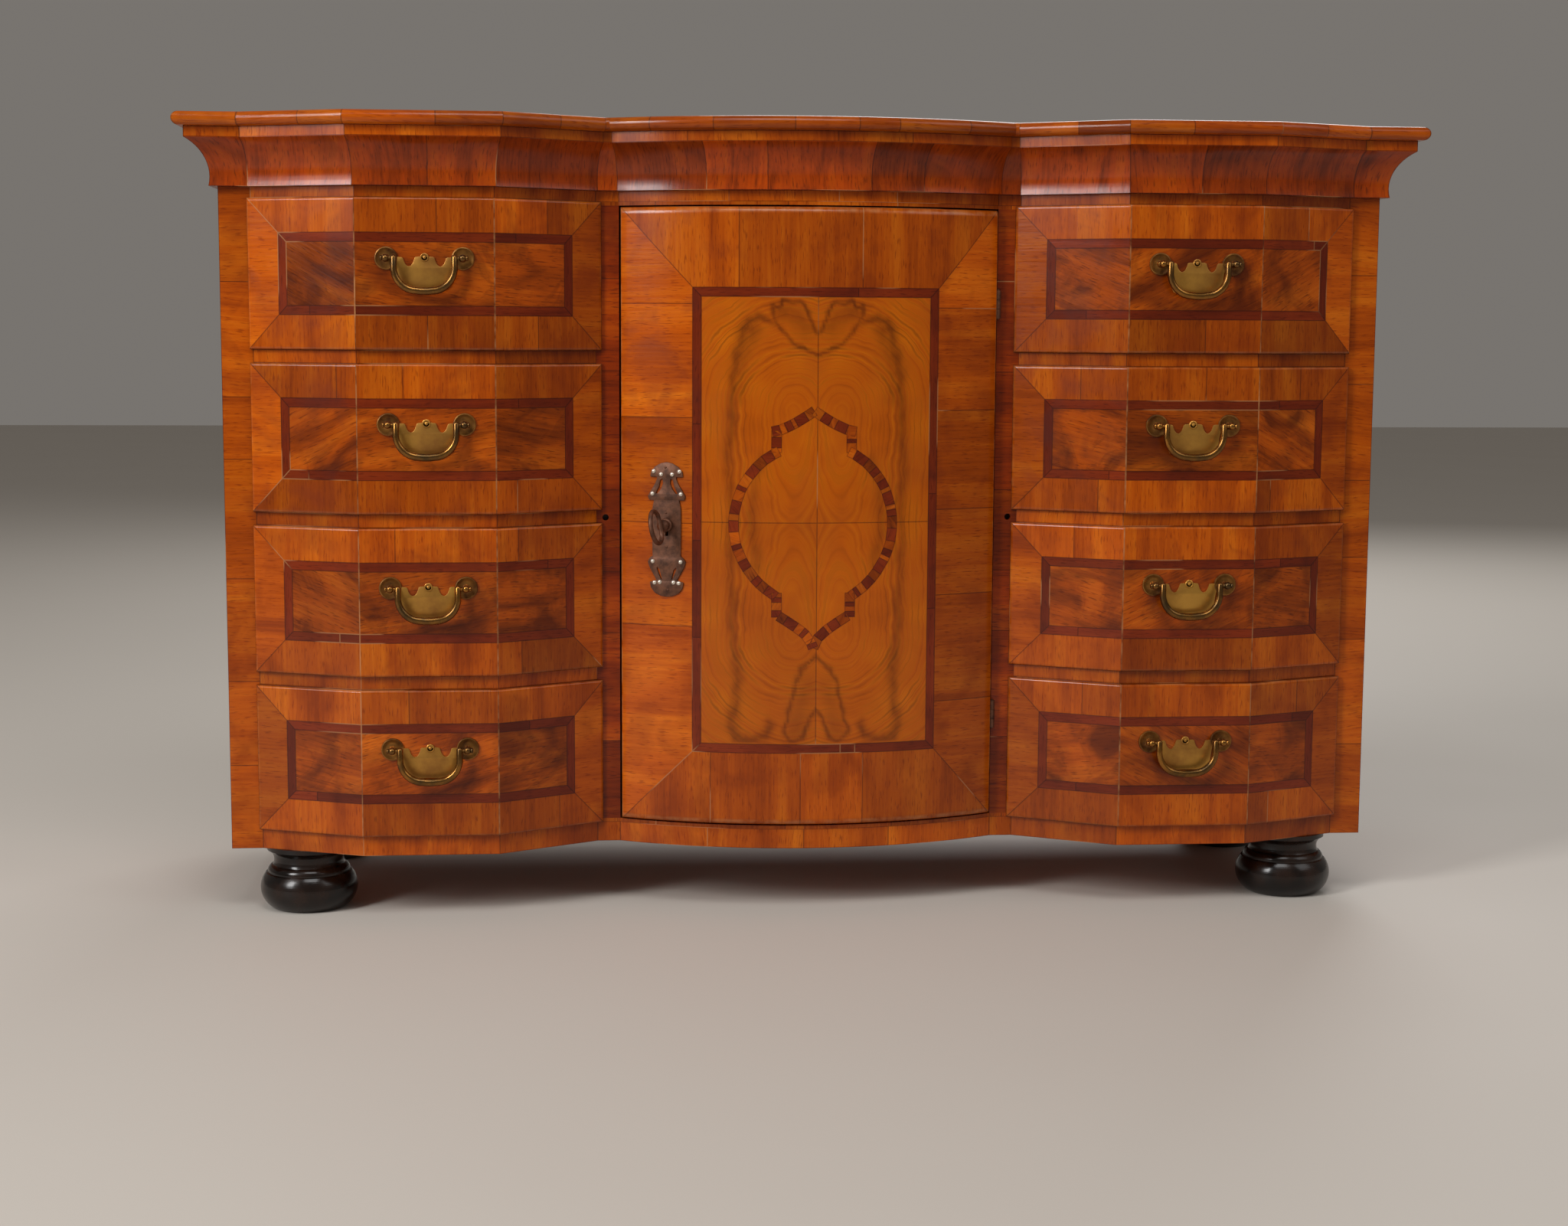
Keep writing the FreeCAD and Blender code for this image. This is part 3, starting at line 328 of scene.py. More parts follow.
def flame_walnut(name, tints):
    """Four matched leaves of crotch walnut: nested growth rings, smoky lines and a flame at the ends."""
    material, node = blank(name)
    grain, tone, wear_and_sheen, rim = leaf_inputs(node)
    # Rings wander by up to 6 mm over 30 mm
    wander = node("TexNoise", {"Vector": grain, "Scale": 34.0, "Detail": 3.0}, "Color")
    shift = node("VectorMath", (wander, (0.5, 0.5, 0.5)), operation="SUBTRACT")
    bent = node("VectorMath", (shift, (12 * MM, 12 * MM, 0.0), grain), operation="MULTIPLY_ADD")
    parts = node("SeparateXYZ", [bent]).node.outputs
    # The rings' eye lies 18 mm from the centre seam and 88 mm from the cross seam
    across = node("Math", (parts[0], 18 * MM), operation="SUBTRACT")
    rise = node("Math", (parts[1], 88 * MM), operation="SUBTRACT")
    drawn = node("Math", (rise, 0.25), operation="MULTIPLY")
    tall = node("Math", (rise, drawn), operation="MAXIMUM")
    reach = node("VectorMath", [node("CombineXYZ", (across, tall))], "Value", operation="LENGTH")
    # Uneven growth lines 2 to 6 mm apart, bunched where the broad figure is dark
    ages = node("Math", (reach, 330.0), operation="MULTIPLY")
    fibres = node("TexNoise", {"W": ages, "Scale": 1.0, "Detail": 3.0}, noise_dimensions="1D")
    broad = node("TexNoise", {"Vector": grain, "Scale": 22.0, "Detail": 2.0})
    mixed = node("Mix", {0: 0.55, 2: fibres, 3: broad})
    body = node("ValToRGB", [mixed], stops=[(0.1, tints[2]), (0.45, tints[1]), (0.68, tints[0])])
    late = node("MapRange", (fibres, 0.5, 0.66, 0.0, 1.0))
    bunch = node("MapRange", (broad, 0.42, 0.6, 0.05, 0.5))
    lines = node("Math", (late, bunch), operation="MULTIPLY")
    body = node("Mix", {0: lines, 6: body, 7: tints[2]}, 2, data_type="RGBA")
    # The smoky outlines come with the leaves; they break up over 12 mm
    smoke = node("Attribute", out="Fac", attribute_name="smoke")
    ragged = node("TexNoise", {"Vector": grain, "Scale": 85.0, "Detail": 3.0})
    patchy = node("MapRange", (ragged, 0.3, 0.7, 0.6, 1.0))
    dark = node("Math", (smoke, patchy), operation="MULTIPLY")
    body = node("Mix", {0: dark, 6: body, 7: tints[2]}, 2, data_type="RGBA")
    polished_wood(node, body, tone, wear_and_sheen, rim, fibres, tints, 0.12)
    return material


def ebonised(name, stain, rubbed):
    """Pearwood stained black and polished: a deep gloss, browner where it is rubbed."""
    material, node = blank(name)
    place = node("TexCoord", out="Object")
    # Rubbed clouds about 17 mm across
    cloud = node("TexNoise", {"Vector": place, "Scale": 60.0, "Detail": 4.0})
    body = node("ValToRGB", [cloud], stops=[(0.4, stain), (0.72, rubbed)])
    gloss = node("MapRange", (cloud, 0.3, 0.75, 0.12, 0.34))
    # Turning marks about 1.2 mm apart
    rings = node("TexWave", {"Vector": place, "Scale": 260.0, "Distortion": 0.5}, 1, bands_direction="Z")
    marks = node("Bump", {"Height": rings, "Distance": 0.05 * MM, "Strength": 0.3})
    surface = node("BsdfPrincipled", {"Base Color": body, "Roughness": gloss, "Normal": marks,
                                      "Specular IOR Level": 0.35, "Coat Weight": 0.1, "Coat Roughness": 0.1})
    node("OutputMaterial", [surface])
    return material


def old_metal(name, bright, dull, rough, grit, metallic=1.0):
    """Hand-finished metal with a patina: rubbed patches over duller ones, and a slightly uneven face."""
    material, node = blank(name)
    place = node("TexCoord", out="Object")
    cloud = node("TexNoise", {"Vector": place, "Scale": 1 / grit, "Detail": 5.0, "Roughness": 0.6})
    body = node("ValToRGB", [cloud], stops=[(0.36, dull), (0.64, bright)])
    gloss = node("MapRange", (cloud, 0.3, 0.7, rough + 0.14, rough))
    dents = node("Bump", {"Height": cloud, "Distance": 0.15 * MM, "Strength": 0.5})
    surface = node("BsdfPrincipled", {"Base Color": body, "Roughness": gloss, "Normal": dents,
                                      "Metallic": metallic})
    node("OutputMaterial", [surface])
    return material


def make_finishes():
    """Every finish of the cabinet, by the name it goes by here."""
    (colours,) = settings("colours")

    def tints(*names):
        return [tuple(getattr(colours, name)) for name in names]

    border, field, flame, band, pine = (
        tints(*(f"{wood}_{part}" for part in ("light", "mid", "dark")))
        for wood in ("border", "field", "flame", "band", "pine"))
    valley, cove = tints("border_mid", "valley", "band_dark"), tints("border_mid", "cove", "field_dark")
    return {
        # Cross-cut walnut, scraped and polished: short grain in warm stripes, leaf beside leaf
        "crossband": walnut("walnut_crossbanding", border),
        # Figured walnut from near the root: smoky clouds with dark veins in a golden ground
        "burr": walnut("figured_walnut_field", field, figure=(9.0, 30.0), swirl=1.2, veins=0.75),
        # The cove's darker body colour is partly its own figure, partly painted shade under the nosing's overhang
        "cove": walnut("figured_walnut_cornice", cove, figure=(9.0, 34.0), swirl=1.4, veins=0.4, mottle=0.35),
        # Crotch walnut opened like a book: mirrored rings and smoky outlines
        "flame": flame_walnut("matched_crotch_walnut", flame),
        # Plum wood: plain red-brown, quiet beside the walnut; the same finish on the drawer lips' walls is painted
        # shade
        "band": walnut("plum_band_and_painted_lip_shade", band),
        # Solid and veneered boards of the carcass: leaves about 70 to 160 mm wide, with plain grain
        "upright": walnut("walnut_uprights", border, layout=(0, 2, 0.078, True)),
        # The strips beside the door: their darker body colour is partly painted shade cast by the drawer banks
        "valley": walnut("walnut_valley_strips", valley, layout=(0, 2, 0.07, True)),
        "front_run": walnut("walnut_cross_grain_runs", border, layout=(2, 0, 0.085)),
        "side_run": walnut("walnut_cross_grain_returns", border, layout=(2, 1, 0.085)),
        "top": walnut("walnut_top", border, layout=(1, 0, 0.16), figure=(8.0, 40.0), mottle=0.35),
        # Planed softwood with little polish: pale, with straight darker late wood
        "pine": walnut("oiled_softwood", pine, layout=(1, 2, 0.4), figure=(3.0, 90.0), swirl=0.3, mottle=0.25),
        "back": walnut("old_softwood_back", pine, layout=(2, 0, 0.21), figure=(3.0, 60.0), swirl=0.3, mottle=0.3),
        # Stained and turned: nearly black, with sharp highlights
        "ebony": ebonised("ebonised_pearwood", *tints("ebony", "ebony_rubbed")),
        # Sawn and filed brass: soft gold with a brown bloom
        "brass": old_metal("aged_brass", *tints("brass_bright", "brass_dull"), 0.3, 30 * MM, 0.8),
        # Cast brass that was never rubbed: brown, with gold at the edges of the clouds
        "roundel": old_metal("browned_brass", *tints("brass_dull", "brass_brown"), 0.26, 12 * MM, 0.8),
        # Brass polished by hands: dark, with clear reflections
        "bail": old_metal("handled_brass", *tints("brass_dull", "brass_dark"), 0.2, 20 * MM),
        # Hammered iron with a brown skin: dull, with fine grit
        "iron": old_metal("browned_wrought_iron", *tints("iron_bright", "iron_dull"), 0.42, 6 * MM, 0.55),
        # Iron heads polished bright: pale points of light
        "stud": old_metal("polished_iron_studs", *tints("stud", "stud"), 0.2, 4 * MM, 0.6),
    }


FINISH = {}


# Leaves of veneer


class Leaf:
    """One leaf of veneer: its outline on the unfolded front, grain, finish and chance values."""

    def __init__(self, outline, grain, slot, chance, mirror=None):
        self.outline = [(round(a, 7), round(b, 7)) for a, b in outline]
        if sum(a[0] * b[1] - b[0] * a[1] for a, b in self.edges()) < 0:
            self.outline.reverse()
        self.turn = (math.cos(grain), math.sin(grain))
        self.slot = slot
        self.tone = chance.uniform(-1, 1)
        self.shift = (chance.uniform(0, 9), chance.uniform(0, 9))
        self.mirror = mirror

    def edges(self):
        return zip(self.outline, self.outline[1:] + self.outline[:1])

    def within(self, low, high):
        """This outline cut to one cell of the grid."""
        shape = self.outline
        for axis in (0, 1):
            for limit, keep in ((low[axis], 1), (high[axis], -1)):
                kept = []
                for a, b in zip(shape, shape[1:] + shape[:1]):
                    da, db = keep * (a[axis] - limit), keep * (b[axis] - limit)
                    if da >= -1e-9:
                        kept.append(a)
                    if (da > 1e-9 and db < -1e-9) or (da < -1e-9 and db > 1e-9):
                        t = da / (da - db)
                        kept.append((a[0] + t * (b[0] - a[0]), a[1] + t * (b[1] - a[1])))
                shape = kept
                if len(shape) < 3:
                    return []
        return shape

    def grain_at(self, s, z):
        if self.mirror:
            return abs(s - self.mirror[0]), abs(z - self.mirror[1])
        c, n = self.turn
        return s * c + z * n + self.shift[0], z * c - s * n + self.shift[1]

    def rims_at(self, s, z):
        near = []
        for a, b in self.edges():
            dx, dy = b[0] - a[0], b[1] - a[1]
            near.append(((s - a[0]) * -dy + (z - a[1]) * dx) / math.hypot(dx, dy))
        return (near + [1.0, 1.0])[:4]


def mesh_of(name, points, faces, slots, finishes):
    """A smoothly shaded mesh and its finishes."""
    mesh = bpy.data.meshes.new(name)
    mesh.from_pydata(points, [], faces)
    mesh.polygons.foreach_set("material_index", slots)
    mesh.polygons.foreach_set("use_smooth", [True] * len(faces))
    for finish in finishes:
        mesh.materials.append(FINISH[finish])
    return mesh


def grid_key(s, z):
    """The name of a place on the grid, to a thousandth of a millimetre."""
    return round(s * 1e6), round(z * 1e6)


class Leafwork:
    """Collects the faces of one veneered piece on a grid of lines and makes its mesh."""

    def __init__(self, across=(), up=()):
        self.lines = [sorted({round(v, 7) for v in axis}) for axis in (across, up)]
        self.points, self.index, self.wear_and_sheen, self.smoke = [], {}, [], []
        self.faces, self.slots, self.tones = [], [], []
        self.grain, self.rims = [], []

    def point(self, key, place, wear_and_sheen=0.0, smoke=0.0):
        if key not in self.index:
            self.index[key] = len(self.points)
            self.points.append(place)
            self.wear_and_sheen.append(wear_and_sheen)
            self.smoke.append(smoke)
        return self.index[key]

    def face(self, corners, slot, tone, grain, rims=None):
        if len(set(corners)) < 3:
            return
        self.faces.append(corners)
        self.slots.append(slot)
        self.tones.append(tone)
        self.grain += grain
        self.rims += rims or [(1.0, 1.0, 1.0, 1.0)] * len(corners)

    def plain(self, corners, slot):
        """A face of solid wood, its grain along Z."""
        places = [self.points[i] for i in corners]
        self.face(corners, slot, 0.0, [(z, x + y) for x, y, z in places])

    def lay(self, leaves, place):
        """Lays leaves on the grid, so that all pieces of the skin share their corners."""
        for leaf in leaves:
            bounds = [(min(p[k] for p in leaf.outline), max(p[k] for p in leaf.outline)) for k in (0, 1)]
            cells = [[(a, b) for a, b in zip(line, line[1:]) if b > low + 1e-9 and a < high - 1e-9]
                     for line, (low, high) in zip(self.lines, bounds)]
            for s0, s1 in cells[0]:
                for z0, z1 in cells[1]:
                    shape = leaf.within((s0, z0), (s1, z1))
                    corners = [self.point(grid_key(s, z), *place(s, z)) for s, z in shape]
                    used = [i for i, c in enumerate(corners) if c != corners[i - 1]]
                    if len(used) >= 3:
                        self.face([corners[i] for i in used], leaf.slot, leaf.tone,
                                  [leaf.grain_at(*shape[i]) for i in used], [leaf.rims_at(*shape[i]) for i in used])

    def close(self, back, slot):
        """Side walls and back behind the skin."""
        s, z = self.lines
        ring = [(a, z[0]) for a in s] + [(s[-1], b) for b in z[1:]]
        ring += [(a, z[-1]) for a in reversed(s[:-1])] + [(s[0], b) for b in reversed(z[1:-1])]
        front = [self.index[grid_key(*key)] for key in ring]
        rear = {key: self.point(("back", key), back(*key)) for key in ring}
        for i, key in enumerate(ring):
            after = (i + 1) % len(ring)
            self.plain([front[after], front[i], rear[key], rear[ring[after]]], slot)
        for a, b in zip(s, s[1:]):
            left, right = ([rear[(v, w)] for w in (z if v in (s[0], s[-1]) else (z[0], z[-1]))] for v in (a, b))
            self.plain(left + right[::-1], slot)

    def prism(self, outline, low, high, slot):
        """A closed block with an upright outline given anticlockwise."""
        tag = ("prism", len(self.points))
        under, over = ([self.point((tag, i, z), (x, y, z)) for i, (x, y) in enumerate(outline)] for z in (low, high))
        self.plain(over, slot)
        self.walls(under, over, slot)

    def walls(self, under, over, slot):
        """The underside and the walls below a face."""
        self.plain(under[::-1], slot)
        for i in range(len(under)):
            j = (i + 1) % len(under)
            self.plain([under[i], under[j], over[j], over[i]], slot)

    def mesh(self, name, finishes, crease=40):
        mesh = mesh_of(name, self.points, self.faces, self.slots, finishes)
        for layer, values in (("grain", self.grain), ("rim_a", [r[:2] for r in self.rims]),
                              ("rim_b", [r[2:] for r in self.rims])):
            mesh.uv_layers.new(name=layer).data.foreach_set("uv", [v for pair in values for v in pair])
        for layer, domain, values in (("tone", "FACE", self.tones), ("wear_and_sheen", "POINT", self.wear_and_sheen),
                                      ("smoke", "POINT", self.smoke)):
            mesh.attributes.new(layer, "FLOAT", domain).data.foreach_set("value", values)
        mesh.validate()
        mesh.set_sharp_from_angle(angle=math.radians(crease))
        return mesh


def placed(name, data):
    """A new object in the scene."""
    piece = bpy.data.objects.new(name, data)
    bpy.context.scene.collection.objects.link(piece)
    return piece


def show(mesh, body, replaced=()):
    """Puts a finished mesh in the scene under its own name, riding on its body."""
    piece = placed(mesh.name, mesh)
    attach(piece, body)
    if replaced:
        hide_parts(*replaced)


def between(value, marks, rows):
    """The row of numbers at a value, between the rows at its two neighbouring marks."""
    for i in range(len(marks) - 1):
        if value <= marks[i + 1] + 1e-9:
            share = (value - marks[i]) / (marks[i + 1] - marks[i])
            return [a + share * (b - a) for a, b in zip(rows[i], rows[i + 1])]
    return rows[-1]


def bent_front(points, radius):
    """Distances along a faceted front whose ridges are rubbed round, (x, y, pale wear and painted highlight) there,
    and the ridges' places.
    """
    flat = 0.6 * MM  # the pale wear and painted highlight fade out over this beside a ridge
    places, ridges = [(points[0], 0.0)], []
    for a, b, c in zip(points, points[1:], points[2:]):
        into, out = (b - a).normalized(), (c - b).normalized()
        reach = radius * math.tan(into.angle(out) / 2)
        first, last = b - into * reach, b + out * reach
        places.append((first - into * flat, 0.0))
        ridges.append(len(places) + 2)
        for t, wear_and_sheen in ((0.0, 0.0), (0.25, 0.25), (0.5, 0.9), (0.75, 0.25), (1.0, 0.0)):
            places.append((first * (1 - t) ** 2 + b * 2 * t * (1 - t) + last * t**2, wear_and_sheen))
        places.append((last + out * flat, 0.0))
    places.append((points[-1], 0.0))
    marks = [0.0]
    for (a, _), (b, _) in zip(places, places[1:]):
        marks.append(marks[-1] + (b - a).length)
    marks = [round(mark, 7) for mark in marks]
    return marks, [(spot.x, spot.y, wear_and_sheen) for spot, wear_and_sheen in places], [marks[i] for i in ridges]


def rounding(distance, radius):
    """How far a rounded edge falls back at a distance from the edge."""
    inside = max(0.0, radius - max(0.0, distance))
    return radius - math.sqrt(radius * radius - inside * inside)


def edge_lines(size, radius):
    """Grid lines near both edges of a rounded front."""
    near = [0.0, 0.08 * radius, 0.3 * radius, 0.6 * radius, radius, radius + 0.5 * MM]
    return near + [size - v for v in near]


def framed(wide, high, borders, joints, slot, chance):
    """Leaves of a mitred frame and its opening: (left, right, bottom, top) each; grain across its length."""
    left, right, bottom, top = borders
    inner = (left, wide - right, bottom, high - top)
    leaves = []
    for side in range(4):
        upright = side < 2
        end = high if upright else wide
        near, far = inner[2:] if upright else inner[:2]
        edge, rim = (0.0, wide, 0.0, high)[side], inner[side]
        stops = [0.0, *sorted(joints[side]), end]
        for a, b in zip(stops, stops[1:]):
            inner_a, inner_b = near if a == 0.0 else a, far if b == end else b
            outline = [(a, edge), (b, edge), (inner_b, rim), (inner_a, rim)]
            if upright:
                outline = [(q, p) for p, q in outline]
            leaves.append(Leaf(outline, 0.0 if upright else math.pi / 2, slot, chance))
    return leaves, inner


def inlaid(leaves, across, up):
    """Moves the leaves of a dark band inside their border and turns their grain along it."""
    for leaf in leaves:
        leaf.outline = [(round(s + across, 7), round(z + up, 7)) for s, z in leaf.outline]
        leaf.turn = leaf.turn[::-1]
    return leaves


def drawer_leaves(wide, high, ridges, sizes, chance):
    """Crossbanded border, dark band and three leaves of burr."""
    border = sizes.drawer_border
    # Some facets of the long borders are pieced out of two leaves
    facets = list(zip([border, *ridges], [*ridges, wide - border]))
    pieced = [[*ridges] + [a + (b - a) * chance.uniform(0.2, 0.8) for a, b in facets if chance.random() < 0.4]
              for _ in range(2)]
    leaves, _ = framed(wide, high, (border,) * 4, ((), (), *pieced), 0, chance)
    # The leaves of the lower border are made darker
    for leaf in leaves:
        if max(z for _, z in leaf.outline) < border + CLOSE:
            leaf.tone -= 0.6
    cuts = [r - border for r in ridges]
    inner_wide, inner_high = wide - 2 * border, high - 2 * border
    spare = [chance.uniform(0.2, 0.8) * cuts[0], cuts[1] + chance.uniform(0.2, 0.8) * (inner_wide - cuts[1])]
    bands, field = framed(inner_wide, inner_high, (sizes.band,) * 4,
                          ((), (), cuts + spare[:1], cuts + spare[1:]), 1, chance)
    left, right, low, top = (v + border for v in field)
    stops = [left, *ridges, right]
    burr = [Leaf([(a, low), (b, low), (b, top), (a, top)], chance.uniform(-0.5, 0.5), 2, chance)
            for a, b in zip(stops, stops[1:])]
    return leaves + inlaid(bands, border, border) + burr


def corners_of(leaves):
    """Grid lines through all corners of some leaves."""
    return [[p[k] for leaf in leaves for p in leaf.outline] for k in (0, 1)]


class CABINET_OT_finishes(bpy.types.Operator):
    """Make the finishes and put them on the CAD pieces"""

    bl_idname = "cabinet.finishes"
    bl_label = "Finishes"

    # By the start of a piece's name
    chosen = {
        "side_": "upright", "partition_": "valley", "bottom_board": "front_run", "upper_board": "front_run",
        "top_board": "top", "top_nosing": "front_run", "cornice_front": "front_run", "cornice_return": "side_run",
        "cornice_back": "back", "back_panel": "back", "dust_boards": "front_run", "foot_": "ebony",
        "hinge_": "iron", "lock_": "iron", "key": "iron", "escutcheon": "iron", "handle_": "brass",
        "bail_": "brass", "door_panel": "crossband", "drawer_": "front_run",
    }

    def execute(self, context):
        FINISH.update(make_finishes())
        for name, node in NODES.items():
            finish = next(f for start, f in self.chosen.items() if name.startswith(start))
            node.data.materials.clear()
            node.data.materials.append(FINISH["pine" if name.endswith("_box") else finish])
        return {"FINISHED"}


class CABINET_OT_drawer_fronts(bpy.types.Operator):
    """Veneer the eight faceted drawer fronts"""

    bl_idname = "cabinet.drawer_fronts"
    bl_label = "Drawer fronts"

    def execute(self, context):
        plan, sizes = settings("plan", "veneer")
        face = plan.stile_plane - plan.front_proud
        right = [Vector(p) for p in (
            (plan.valley_outer, face + plan.valley_back), (plan.inner_ridge, face - plan.ridge_forward),
            (plan.outer_ridge, face - plan.ridge_forward), (plan.stile_inner, face))]
        inner, outer = right[0] - right[1], right[3] - right[2]
        lapped = [right[0] - inner * (sizes.lap_inner / inner.x), *right[1:3],
                  right[3] + outer * (sizes.lap_outer / outer.x)]
        for side, sign in SIDES.items():
            block, run = ([Vector((sign * p.x, p.y)) for p in points[::sign]] for points in (right, lapped))
            for row in ROWS:
                self.front(side, row, block, bent_front(run, sizes.ridge_round), plan, sizes)
        return {"FINISHED"}

    def front(self, side, row, block, run, plan, sizes):
        """One front: a veneered lip over a softwood block."""
        name = f"drawer_{side}_{row}_front"
        chance = random.Random(f"{side} {row}")
        low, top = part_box(name)
        marks, spots, ridges = run
        wide, high, radius = marks[-1], top.z - low.z, sizes.edge_round

        def place(s, z):
            x, y, wear_and_sheen = between(s, marks, spots)
            edge = min(s, wide - s, z, high - z)
            # Pale wear and a painted highlight on the ridges and along the rounded edges
            return (x, y + rounding(edge, radius), low.z + z), max(wear_and_sheen, 0.2 if edge < 0.7 * radius else 0.0)

        def back(s, z):
            x, y, _ = between(s, marks, spots)
            behind = y + sizes.lip
            if abs(x) < plan.valley_outer:
                behind = min(behind, plan.stile_plane + plan.valley_back - sizes.seat)
            if abs(x) > plan.stile_inner:
                behind = min(behind, plan.stile_plane - sizes.seat)
            return x, behind, low.z + z

        leaves = drawer_leaves(wide, high, ridges, sizes, chance)
        across, up = corners_of(leaves)
        work = Leafwork(marks + edge_lines(wide, radius) + across, edge_lines(high, radius) + up)
        work.lay(leaves, place)
        # The lip's walls and back take the dark band's finish: painted shade in the gaps round the front
        work.close(back, 1)
        inset = sizes.block_inset
        behind = [p + Vector((0, sizes.lip)) for p in block]
        start, end = (a + (b - a).normalized() * inset for a, b in (behind[:2], behind[:1:-1]))
        outline = [(start.x, start.y - SUNK), *(tuple(p) for p in behind[1:3]), (end.x, end.y - SUNK),
                   (end.x, top.y), (start.x, top.y)]
        work.prism(outline, low.z + inset, top.z - inset, 3)
        mesh = work.mesh(name + "_veneered", ("crossband", "band", "burr", "pine"))
        show(mesh, f"drawer_{side}_{row}", [name])


# The bowed door


def door_circle(plan):
    """Radius and centre Y of the bowed door's face."""
    radius = (plan.valley_inner**2 + plan.bow_rise**2) / (2 * plan.bow_rise)
    return radius, plan.stile_plane + plan.valley_back - plan.bow_rise - plan.front_proud + radius


def key_place(plan, mounts):
    """Where the key goes into the door, the way out of the face there and the way to the right."""
    radius, centre = door_circle(plan)
    angle = math.asin(mounts.key_across / radius)
    out = Vector((-math.sin(angle), -math.cos(angle), 0))
    return Vector((0, centre, mounts.key_level)) + out * radius, out, Vector((math.cos(angle), -math.sin(angle), 0))


def hinge_levels():
    """Lowest and highest point of each hinge leaf on the door."""
    levels = sorted(v.co.z for v in NODES["hinge_leaves_door"].data.vertices)
    middle = (levels[0] + levels[-1]) / 2
    return [(levels[0], max(z for z in levels if z < middle)), (min(z for z in levels if z > middle), levels[-1])]


def evaluated(piece):
    """The mesh of an object with its modifiers applied."""
    return bpy.data.meshes.new_from_object(piece.evaluated_get(bpy.context.evaluated_depsgraph_get()))


def cut_out(mesh, rooms):
    """The mesh with some rooms cut out of it."""
    helpers = [placed("blank", data) for data in [mesh] + [gather("room", [(room, 0)], []) for room in rooms]]
    for room in helpers[1:]:
        cut = helpers[0].modifiers.new("room", "BOOLEAN")
        cut.object, cut.operation, cut.solver = room, "DIFFERENCE", "EXACT"
    result, name = evaluated(helpers[0]), mesh.name
    for helper in helpers:
        data = helper.data
        bpy.data.objects.remove(helper)
        bpy.data.meshes.remove(data)
    result.name = name
    return result


def smooth(points):
    """A curve through the points, six steps to each span."""
    ends = [points[0] * 2 - points[1]] + points + [points[-1] * 2 - points[-2]]
    path = []
    for a, b, c, d in zip(ends, ends[1:], ends[2:], ends[3:]):
        for n in range(6):
            t = n / 6
            bend, twist = a * 2 - b * 5 + c * 4 - d, b * 3 - a - c * 3 + d
            path.append((b * 2 + (c - a) * t + bend * t * t + twist * t**3) / 2)
    return path + [points[-1]]


